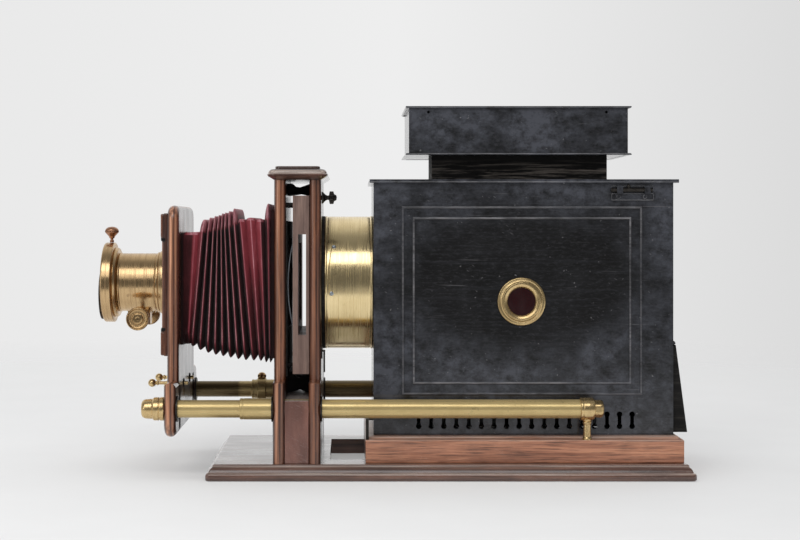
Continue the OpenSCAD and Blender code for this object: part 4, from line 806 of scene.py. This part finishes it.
def pillars():
    """Rings that clasp the rear ends of the tubes, closed by six-sided plugs, on pillars on the plinth."""
    lo, hi = span("tube_pillars")
    x0, x1 = lo[0], hi[0]
    ring_len = 14.7
    ring = moved([(0, 9.4), (0, 10.9), (0.6, 11.5), (2.4, 11.5), (3, 10.9), (3.6, 11.4), (9, 11.5),
                  (12.6, 11.2), (ring_len - 0.6, 10.4), (ring_len, 9.2), (ring_len, 0)], x0)
    post = moved([(0, 0), (0, 4.8), (1.4, 4.8), (2.2, 4.2), (3, 3.85)], lo[2])
    post += moved([(-15.2, 3.85), (-14.4, 4.6), (-13, 4.6), (-12.4, 4), (-11.6, 4.8), (-8, 5.9), (-8, 0)],
                  TUBE_Z)
    plug_profile = soften([(x0 + ring_len - 0.4, 8.6), (x1 - 3, 8.9), (x1 - 1.2, 8.4), (x1, 6.4)], 0.8)
    angle = np.arange(72) * 2 * np.pi / 72
    flat = np.cos(np.pi / 6) / np.cos((angle + np.pi / 6) % (np.pi / 3) - np.pi / 6)
    radius = plug_profile[:, 1:2] * np.minimum(1.08 * flat, 1)
    place = np.repeat(plug_profile[:, :1], 72, 1)
    shells = []
    for y, z in NEAR_AND_FAR:
        plug = np.stack([place, y + radius * np.cos(angle), z + radius * np.sin(angle)], -1)
        shells += [turned(ring, "x", (y, z)), grid(plug, caps=True),
                   turned(post, "z", (x0 + ring_len / 2, y), steps=48)]
    stand_in("tube_rings_and_pillars", shells, "brass", "tube_pillars", sharp=24)


def ball_screws():
    """Screws with turned balls at the foot of the standard."""
    for node in ("ball_screw_near", "ball_screw_far"):
        lo, hi = span(node)
        r = (hi[2] - lo[2]) / 2
        t = np.linspace(0, np.pi * 0.86, 14)
        ball = np.stack([lo[0] + r - r * np.cos(t), r * np.sin(t)], 1)
        neck = moved([(0.2, 1.9), (1, 2.6), (2, 2.6), (2.6, 1.8)], lo[0] + 2 * r)
        profile = [*ball, *neck, (hi[0], 1.8), (hi[0], 0)]
        screw = turned(profile, "x", middle(node)[1:], steps=40, round_by=0.2)
        stand_in(node + "_turned", [screw], "brass", node)


def objective():
    """Jacket with its flange and pinion box, draw tube and hood with its screw."""
    centre, bore, r = (0, AXIS_Z), 29.4, JACKET_R
    lo, hi = span("lens_jacket")
    x0, x1 = lo[0], hi[0]
    jacket = [(x0, bore), *moved([(0, 0), (0.6, 0.8), (1.6, 0.8), (2.2, 0)], x0, r),
              *moved([(-13, 0), (-12.6, -0.3), (-12, 0.2), (-11.4, 1.2), (-9.6, 1.4), (-9.2, 0.9),
                      (-8.4, 2.4), (-5.6, 2.9), (-3.4, 3.1)], x1, r),
              (x1 - 2.9, 35), (x1, 35), (x1, bore)]
    pinion_x = middle("focus_pinion")[0]
    shells = [turned(jacket, "x", centre, steps=128, closed=True, round_by=0.5),
              block((pinion_x - 8, -10, lo[2]), (pinion_x + 8, 10, AXIS_Z - r + 2.4), 1.0, 2.5)]
    stand_in("jacket_and_box", shells, "old_brass", "lens_jacket")
    lo, hi = span("draw_tube")
    draw = [(lo[0], 27.95), (lo[0], 29.35), (hi[0], 29.35), (hi[0], 27.95)]
    stand_in("sliding_draw_tube", [turned(draw, "x", centre, closed=True)], "brass", "draw_tube")
    lo, hi = span("lens_hood")
    x0, x1, hood_r = lo[0], hi[0], (hi[2] - lo[2]) / 2
    hood = [(x1, 25.4), *moved([(0, 0.6), (-0.4, 1.2), (-0.5, 4.4), (-1, 5.4), (-3.4, 6.6), (-3.9, 6.2),
                                (-4.2, 5.6), (-4.5, 7.4)], x1, r),
            (x1 - 4.8, hood_r - 1.2), (x1 - 5.4, hood_r),
            *moved([(1.6, 0), (0.5, -0.4), (0, -1.4), (0, -3.6), (0.4, -4)], x0, hood_r),
            (x1 - 5, hood_r - 6.5), (x1 - 3, r + 2), (x1 - 0.8, 25.4)]
    stand_in("hood_ring", [turned(hood, "x", centre, steps=128, closed=True)], "old_brass", "lens_hood")
    lo, hi = span("hood_screw")
    top = hi[2]
    screw = moved([(0, 0), (0, 2.2), (2.2, 2.2), (2.8, 1.5)], lo[2])
    screw += moved([(-12.8, 1.5), (-12.5, 2.5), (-10.6, 3.2), (-8.4, 5.2), (-6.4, 7.1), (-5, 7.4),
                    (-2.8, 6.7), (-1.2, 5), (-0.4, 3), (0, 0)], top)
    milled = turned(screw, "z", (middle("hood_screw")[0], 0), 36, 0.3, (top - 6, top - 4))
    stand_in("hood_thumbscrew", [milled], "old_brass", "hood_screw", "worn_copper")


def pinion():
    """Toothed pinion on its shaft, between two milled knobs with hollow faces and round bosses."""
    end = span("focus_pinion")[1][1]
    px, _, pz = middle("focus_pinion")
    # Each point is (depth from the knob's outer face, radius)
    knob = [(14, 0), (14, 3.4), (9, 3.4), (8.4, 5.4), (7, 11), (6, 12), (1.2, 12), (0.2, 11.5), (0.2, 10.6),
            (1.4, 9.6), (2.1, 8), (1.9, 6.6), (0.9, 5.2), (0.6, 2.8), (0.9, 1.4), (0.9, 0)]
    shells = [turned([(side * (end - depth), radius) for depth, radius in knob], "y", (px, pz), 44, 0.5,
                     (side * (end - 6.4), side * (end - 1.4)), round_by=0.5) for side in (-1, 1)]
    shaft = [(2 - end, 0), (2 - end, 2), (end - 2, 2), (end - 2, 0)]
    shells.append(turned(shaft, "y", (px, pz), steps=32))
    teeth, pitch_r, tooth_half = 10, 4.85, 1.05
    angle = np.arange(240) * 2 * np.pi / 240
    wave = np.clip(1.5 * np.cos(teeth * (angle - np.pi / 2) + np.pi), -1, 1)
    shells.append(sheet_cut((px, pz) + (pitch_r + tooth_half * wave)[:, None] * unit_circle(angle), -3, 3))
    stand_in("pinion_and_knobs", shells, "old_brass", "focus_pinion", "knob_brass")


def stage_screw():
    """Thumbscrew at the top of the rear board."""
    foot, x = span("stage_screw")[0][0], span("stage_rear_board")[1][0]
    head = moved([(0.4, 2.4), (0.4, 6.2), (1.8, 5.9), (4, 3.4), (6.2, 2.2), (7.8, 2.3), (8.6, 6.6),
                  (12.4, 6.6), (13.2, 3.6), (15.4, 2.6), (16, 0)], x)
    winged = turned([(foot, 0), (foot, 2.4), *head], "x", middle("stage_screw")[1:], 18, 1.1,
                    (x + 8.5, x + 12.8))
    stand_in("stage_thumbscrew", [winged], "dark_steel", "stage_screw")


def sight_rings():
    """Turned rings round the ruby glasses of the near side and of the door."""
    # Each point is (height over the wall, distance out from the glass's edge)
    steps = [(0, 1.2), (0, 10.3), (1.2, 10.3), (1.9, 9.6), (2.1, 8.3), (1.7, 7.3), (2.3, 6.2), (3.5, 5.1),
             (3.6, 3.4), (2.7, 1.2), (1.4, 0), (0.8, 0), (0.8, 1.2)]
    for name, node, out in (("near_sight_ring", "window_ring", -1), ("door_sight_ring", "door_window", 1)):
        lo, hi = span(node)
        wall = hi[1] if out < 0 else lo[1]
        profile = [(wall + out * up, GLASS_R + away) for up, away in steps]
        stand_in(name, [turned(profile, "y", (WINDOW[0], WINDOW[2]), closed=True, steps=128)], "brass", node)


# Sheet iron

def pressed_beads():
    """Two half-round beads pressed round the panel of the near side and of the door."""
    t = np.linspace(0, np.pi, 9)
    section = np.concatenate([unit_circle(t) * (1.5, 1.2), [(-1.5, -0.5), (1.5, -0.5)]])
    # The crests' pale tone is rubbing and painted highlight, weaker on the outer bead.
    rub_and_painted_light = np.concatenate([0.8 * np.sin(t) ** 4, [0, 0]])
    house_lo, house_hi = span("lamphouse_near_side")
    panel_lo = house_lo[[0, 2]] + (30, 42)
    panel_hi = house_hi[[0, 2]] - (33, 25)
    for name, node, face, out in (("near_side_beads", "lamphouse_near_side", house_lo[1] + SHEET, -1),
                                  ("door_beads", "lamp_door", span("door_window")[0][1], 1)):
        shells = [bead(panel_lo + step, panel_hi - step, section * (1, out), "y", face, wear_and_painted_light=rub_and_painted_light * worn_and_lit)
                  for step, worn_and_lit in ((0, 0.6), (11, 1.0))]
        piece(name, shells, "japanned_iron", BODY_OF[node])


def wired_edges():
    """Wire rolled into the rims of the cowl and into the lip of the roof."""
    section = 0.95 * unit_circle(np.arange(12) * np.pi / 6)
    lo, hi = span("chimney_cowl")
    rims = [bead(lo[:2] + 0.9, hi[:2] - 0.9, section, "z", z, 1.5, 0.45)
            for z in (lo[2] + 0.95, hi[2] - 0.95)]
    piece("cowl_wires", rims, "japanned_iron", BODY_OF["chimney_cowl"])
    lo, hi = span("lamphouse_roof")
    lip = bead(lo[:2] + 0.8, hi[:2] - 0.8, section, "z", lo[2] + 0.95, 1.5, 0.4)
    piece("roof_wire", [lip], "japanned_iron", "stand")


def cowl_underside():
    """Sheet that closes the cowl's foot round the neck."""
    lo, hi = span("chimney_cowl")
    neck_lo, neck_hi = span("chimney_neck")
    rim = 4.4
    hole = rect_loop(neck_lo[:2] - 0.5, neck_hi[:2] + 0.5, 0.5)
    edge = [(inset, lo[2] + up) for inset, up in ((0.2, 0.2), (0, 0.3), (0, 0.7), (0.2, 0.8))]
    sheet = slab(lo[:2] + rim, hi[:2] - rim, 0.5, edge, "z", hole)
    piece("cowl_underside", [sheet], "japanned_iron", BODY_OF["chimney_cowl"])


def bolt_trim():
    """Raised rims and two domed rivets on the bolt's plate."""
    lo, hi = span("bolt_plate")
    out, split_z = lo[1] + 3.9, lo[2] + 6
    rim = 0.45 * unit_circle(np.arange(8) * np.pi / 4)
    # The rims' and rivets' pale tone is rubbing and painted highlight, strongest on the rivets and the lower
    # rim, where the light falls.
    shells = [bead((lo[0] - 3, lo[2] - 0.6), (hi[0] + 1.4, split_z), rim, "y", out, 1, 0.4),
              bead((lo[0] - 3, split_z + 3.6), (hi[0] + 1.4, hi[2] - 0.4), rim, "y", out, 0.6, 0.15)]
    dome = moved([(1, 0), (1, 2.3), (-0.1, 2.2), (-0.5, 1.5), (-0.6, 0)], out)
    for x in (lo[0] + 4, hi[0] - 7):
        points, faces, _ = turned(dome, "y", (x, lo[2] + 2.8), steps=28)
        shells.append((points, faces, np.full(len(points), 0.6)))
    piece("bolt_trim", shells, "japanned_iron", "stand")


# Bellows

# The folds from front to rear: place of each tip along the axis at the top and at the foot, and its height
# over and depth under the axis. The first is pressed flat, and the tenth to twelfth are pulled open.
TIP_X_TOP = np.array([-110, -101, -95.1, -90, -86, -82.6, -79.3, -75.2, -70, -62.5, -52, -42, -34.5])
TIP_X_FOOT = np.array([-117, -113.2, -105, -96.8, -89, -81.2, -73.4, -65.4, -57.6, -49.4, -42, -36.6, -31.9])
TIP_TOP = np.array([53.6, 66.6, 68.6, 70.2, 71.2, 72.9, 73.8, 75.3, 78, 67.1, 68.6, 67, 83])
TIP_FOOT = np.array([62, 64.3, 68, 70.8, 72.7, 74.1, 75.5, 76.9, 77.8, 78.1, 78.4, 79.9, 80])
# The valleys before, between and after the folds, and how open the leather beside each one is, which also
# sets the painted light on that panel
VALLEY_TOP = np.array([53, 53, 53, 54, 55, 55.5, 56, 57, 58.5, 61, 65.4, 66, 65, 66])
VALLEY_FOOT = np.array([62.4, 60.5, 59.3, 60.7, 62, 62.6, 64, 64.2, 64.7, 65.3, 66, 66.6, 67, 72])
OPEN_AND_LIT = np.array([0.12, 0.46, 0.06, 0.03, 0.02, 0.02, 0.03, 0.03, 0.06, 0.1, 0.42, 0.52, 0.14, 0.3])
# How pale each ridge is, from rubbing and a painted highlight
RIDGE_TONE = np.array([0.62, 0.95, 0.95, 1, 1, 1, 1, 1, 0.95, 0.8, 0.85, 0.75, 0.7])
FOLDS = len(TIP_TOP)
LEATHER = 1.2


def pleated_bellows():
    """Leather folded into pleats. At phase p of a fold, 0 on the tip and 1 in the valley, the sides lie
    (sqrt(p^2 + e^2) - e) / (sqrt(1 + e^2) - e) of the way from the tip to the valley, a sharp ridge, and the
    top and the foot 1 - sqrt(1 - p^2) of it, a round tongue. Corners are cut at 45 degrees, and a point's
    x runs from the foot's place to the top's with its height."""
    front, rear = span("bellows_front_frame")[1][0], span("bellows_rear_frame")[0][0]
    phases = np.array([0.05, 0.12, 0.24, 0.42, 0.62, 0.79, 0.91, 0.97])
    signed = np.concatenate([[-1], -np.flip(phases), [0], phases])
    fold = np.append(np.repeat(np.arange(FOLDS), len(signed)), FOLDS - 1)
    phase = np.append(np.tile(signed, FOLDS), 1)
    valley = fold + (phase > 0)
    p, e = np.abs(phase), 0.09
    sharp = (np.sqrt(p ** 2 + e ** 2) - e) / (np.sqrt(1 + e ** 2) - e)
    round_tip = 1 - np.sqrt(1 - p ** 2)

    def between(at_tip, at_valley, share):
        return (at_tip[fold] * (1 - share) + at_valley[valley] * share)[:, None]

    def valleys(tips):
        return np.concatenate([[front], (tips[1:] + tips[:-1]) / 2, [rear]])

    valley_x = valleys(TIP_X_FOOT)
    x_top, x_foot = between(TIP_X_TOP, valleys(TIP_X_TOP), p), between(TIP_X_FOOT, valley_x, p)
    tip_side = 65 + 14 * (TIP_X_FOOT - front) / (rear - front)
    tip_side[0] = 61.5
    valley_side = np.interp(valley_x, TIP_X_FOOT, tip_side) - 12
    valley_side[:2] = 60, 59
    wide_side = valley_side + 6 * (OPEN_AND_LIT > 0.4) * (valley_x > front + 30)
    foot_half, top_half = between(tip_side, valley_side, sharp), between(tip_side, wide_side, sharp)
    top, foot = between(TIP_TOP, VALLEY_TOP, round_tip), between(TIP_FOOT, VALLEY_FOOT, round_tip)
    top_cut = between(np.maximum(TIP_TOP - VALLEY_TOP[1:], 3), np.full(FOLDS + 1, 3.0), round_tip)
    foot_cut = between(np.full(FOLDS, 13.0), np.full(FOLDS + 1, 4.0), round_tip)
    along_side, along_cut, across = np.linspace(0, 1, 15), np.linspace(0, 1, 6)[1:-1], np.linspace(1, -1, 9)
    shells, lifts = [], []
    for inset in (0, LEATHER):
        hi, lo = top - inset, foot - inset
        rise = foot_cut - lo + (hi - top_cut + lo - foot_cut) * along_side
        half = foot_half - inset + (top_half - foot_half) * smooth_step(along_side, 0.35, 0.8)
        ceiling, ground = half[:, -1:] - top_cut, half[:, :1] - foot_cut
        y = np.concatenate([ground + foot_cut * along_cut, half, half[:, -1:] - top_cut * along_cut], 1)
        z = np.concatenate([foot_cut * along_cut - lo, rise, hi - top_cut * (1 - along_cut)], 1)
        y = np.concatenate([y, ceiling * across, -np.flip(y, 1), -ground * across], 1)
        z = np.concatenate([z, hi + 0 * across, np.flip(z, 1), 0 * across - lo], 1)
        lifts.append((z + lo) / (hi + lo))
        shells.append(np.stack([x_foot + (x_top - x_foot) * lifts[-1], y, z + AXIS_Z], -1))
    lift, z = lifts[0], shells[0][..., 2] - AXIS_Z
    # The tone paints light and shade: the folds stay black as painted shade, open panels are red as painted
    # light and darker towards the foot, ridges are pale from rubbing and painted highlight and darker at the
    # foot, and the top is pale with dust.
    ridge = (RIDGE_TONE[fold] * crest(p, 0, 0.2))[:, None] * (1 - 0.75 * smooth_step(-lift, -0.12, -0.03))
    panel = OPEN_AND_LIT[valley][:, None] * (0.35 + 0.65 * smooth_step(lift, 0.05, 0.7))
    dust = (z > top - top_cut + 0.4) * (0.84 - 0.7 * smooth_step(p, 0.5, 1))[:, None]
    tone = np.maximum(np.maximum(ridge, panel), dust)
    skin = grid(np.concatenate([shells[0], np.flip(shells[1], 0)]), closed=True,
                wear_and_painted_light=np.concatenate([tone, 0 * tone]))
    leather = piece("pleated_bellows", [skin], "bellows_leather", None, "bellows", sharp=70)
    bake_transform(leather)


def bellows_flange():
    """Leather glued flat to the back of the standard, black as painted shade where the bellows meet it."""
    lo, hi = span("bellows_front_frame")
    hole = rect_loop((-52, AXIS_Z - 52), (52, AXIS_Z + 48), 3)
    flange = slab((-60, AXIS_Z - VALLEY_FOOT[0]), (60, AXIS_Z + VALLEY_TOP[0]), 3,
                  plain_edge(lo[0], hi[0], 0.6, 0.4), "x", hole)
    stand_in("bellows_flange", [flange], "dark_steel", "bellows_front_frame", "bellows_leather")


# Kept CAD nodes and their finishes

KEPT = {
    "frame_walnut": ["slide_frame"],
    "japanned_iron": ["lamphouse_near_side", "lamphouse_far_side", "lamphouse_ends", "lamphouse_floor",
                      "lamphouse_roof", "bolt_plate", "lamp_door", "chimney_cowl"],
    # The neck's black is soot and painted shade under the cowl; on the rear flap and the lamp tray it is
    # painted shade, on the flap's shaded side and inside the lamphouse.
    "black_iron_and_shade": ["gate_guide_pins", "chimney_neck", "rear_flap", "lamp_tray"],
    "dark_steel": ["side_bolt", "stage_hook", "plinth_catch", "flasher"],
    "brass": ["focus_rack", "lime_burner"],
    "old_brass": ["condenser_cell", "oxygen_tap", "hydrogen_tap"],
    # The rear frame is black leather too, as painted shade.
    "bellows_leather": ["bellows_rear_frame"],
    "ruby_glass": ["ruby_glass", "door_glass"],
    "clear_glass": ["condenser_lenses", "lens_elements"],
    "lime": ["lime_spindle"],
}


def finish_kept():
    for finish, nodes in KEPT.items():
        for node in nodes:
            obj = frame["nodes"][node]
            if not obj.material_slots:
                obj.data.materials.append(MATERIALS[finish])
            for material_slot in obj.material_slots:
                material_slot.material = MATERIALS[finish]


# Studio

CAMERA_AT = (49.4, -1650, 255)
FOCAL_PX = 1545
VANISHING_PX = (350, 225)
PICTURE_PX = (800, 540)
FLOOR_REACH = 3.0


def camera():
    """Level camera that looks along +Y, shifted so that its axis meets the picture at its vanishing point."""
    data = bpy.data.cameras.new("studio_camera")
    data.sensor_width = 36
    data.lens = data.sensor_width * FOCAL_PX / PICTURE_PX[0]
    data.shift_x = (PICTURE_PX[0] / 2 - VANISHING_PX[0]) / PICTURE_PX[0]
    data.shift_y = -(PICTURE_PX[1] / 2 - VANISHING_PX[1]) / PICTURE_PX[0]
    obj = put("studio_camera", data)
    obj.location = [c * MM for c in CAMERA_AT]
    obj.rotation_euler = (np.pi / 2, 0, 0)
    bpy.context.scene.camera = obj


def softbox(name, at, aim, size, radiance, mirrored=True):
    """A rectangular lamp that faces its aim, as bright as a wall of that radiance. The mirrored ones show in
    polished surfaces."""
    data = bpy.data.lights.new(name, "AREA")
    data.shape = "RECTANGLE"
    data.size, data.size_y = size
    data.energy = radiance * np.pi * size[0] * size[1]
    obj = put(name, data)
    obj.location = at
    x, y, z = np.subtract(aim, at)
    obj.rotation_euler = (np.arctan2(np.hypot(x, y), -z), 0, np.arctan2(y, x) - np.pi / 2)
    obj.visible_camera = False
    obj.visible_glossy = mirrored


def surroundings():
    """What is seen behind: pale grey, shading off to the right. What is mirrored: pale behind the lantern,
    grey above, and dark on the camera's side down to the pale paper, which comes nearer on the right. What
    lights it: even grey."""
    world = bpy.data.worlds.new("studio")
    world.use_nodes = True
    bpy.context.scene.world = world
    world.node_tree.nodes.clear()
    n = Nodes(world.node_tree)
    direction = n.add("SeparateXYZ", {0: n.add("TexCoord")["Generated"]})

    def by_direction(axis, stops):
        """Background whose grey follows one coordinate of the direction, from -1 to 1."""
        place = n.math("MULTIPLY_ADD", direction[axis], 0.5, 0.5)
        return n.add("Background", {0: n.ramp(place, [(at / 2 + 0.5, (grey,) * 3) for at, grey in stops])})[0]

    seen = by_direction("X", [(-1, 228), (-0.2, 234), (0.03, 238), (0.15, 230), (0.29, 219), (1, 214)])
    mirrored = by_direction("Y", [(-1, 98), (-0.4, 110), (0, 140), (0.35, 206), (0.7, 234), (1, 236)])
    paper = by_direction("Z", [(-1, 226), (0, 232)])
    fill = n.add("Background", {0: (0.66, 0.665, 0.68, 1)})[0]
    nearer = n.remap(direction["X"], 0.015, 0.045, 0.22, 0)
    low = n.remap(n.math("ADD", direction["Z"], nearer), -0.07, -0.13, 0, 1)
    path = n.add("LightPath")
    direct = n.math("MAXIMUM", path["Is Camera Ray"], path["Is Transmission Ray"])
    indirect = n.share(path["Is Glossy Ray"], fill, n.share(low, mirrored, paper))
    n.add("OutputWorld", {0: n.share(direct, indirect, seen)})


def floor():
    """Pale paper that fades into the surroundings further out. In reflections it also ends in front."""
    corners = [(x * FLOOR_REACH, y * FLOOR_REACH, 0) for x, y in ((-1, -1), (1, -1), (1, 1), (-1, 1))]
    mesh = bpy.data.meshes.new("studio_floor")
    mesh.from_pydata(corners, [], [(0, 1, 2, 3)])
    obj = put("studio_floor", mesh)
    f = Finish("studio_floor", Roughness=0.8, Specular_IOR_Level=0.1)
    f.finish(f.ramp(f.noise(9, 3, 0.5), [(0.3, (242, 242, 241)), (0.7, (245, 245, 244))]))
    near = f.times(f.remap(f.part("Y"), -0.45, -0.6, 0, 1), f.add("LightPath")["Is Glossy Ray"])
    far = f.remap(f.vector("LENGTH", f.place)["Value"], 0.4, 1.9, 0.25, 1)
    blend = f.share(f.math("MAXIMUM", far, near), f.shader.outputs[0], f.add("BsdfTransparent")[0])
    f.tree.links.new(blend, f.tree.nodes["Material Output"].inputs[0])
    mesh.materials.append(f.material)


def softboxes():
    softbox("front_softbox", (-0.25, -1.85, 2.05), (0.08, 0, 0.18), (2.3, 0.95), 2.5)
    softbox("top_softbox", (0.1, 0.3, 2.4), (0.1, 0, 0.1), (2.4, 2.0), 0.6, mirrored=False)
    softbox("low_softbox", (-0.6, -1.7, 1.1), (-0.15, 0, 0.19), (0.5, 0.7), 1.7)
    softbox("left_softbox", (-1.75, -1.55, 0.75), (0, 0, 0.15), (0.7, 1.5), 1.6)


for make in (camera, base_board, plinth, stage, gate_irons_and_shade_sheet, bow_strips, pressure_plate, standard,
             standard_fittings, drum, tubes, pillars, ball_screws, objective, pinion, stage_screw,
             sight_rings, pressed_beads, wired_edges, cowl_underside, bolt_trim, pleated_bellows,
             bellows_flange, finish_kept, surroundings, floor, softboxes):
    make()
bpy.context.scene.view_settings.view_transform = "Standard"
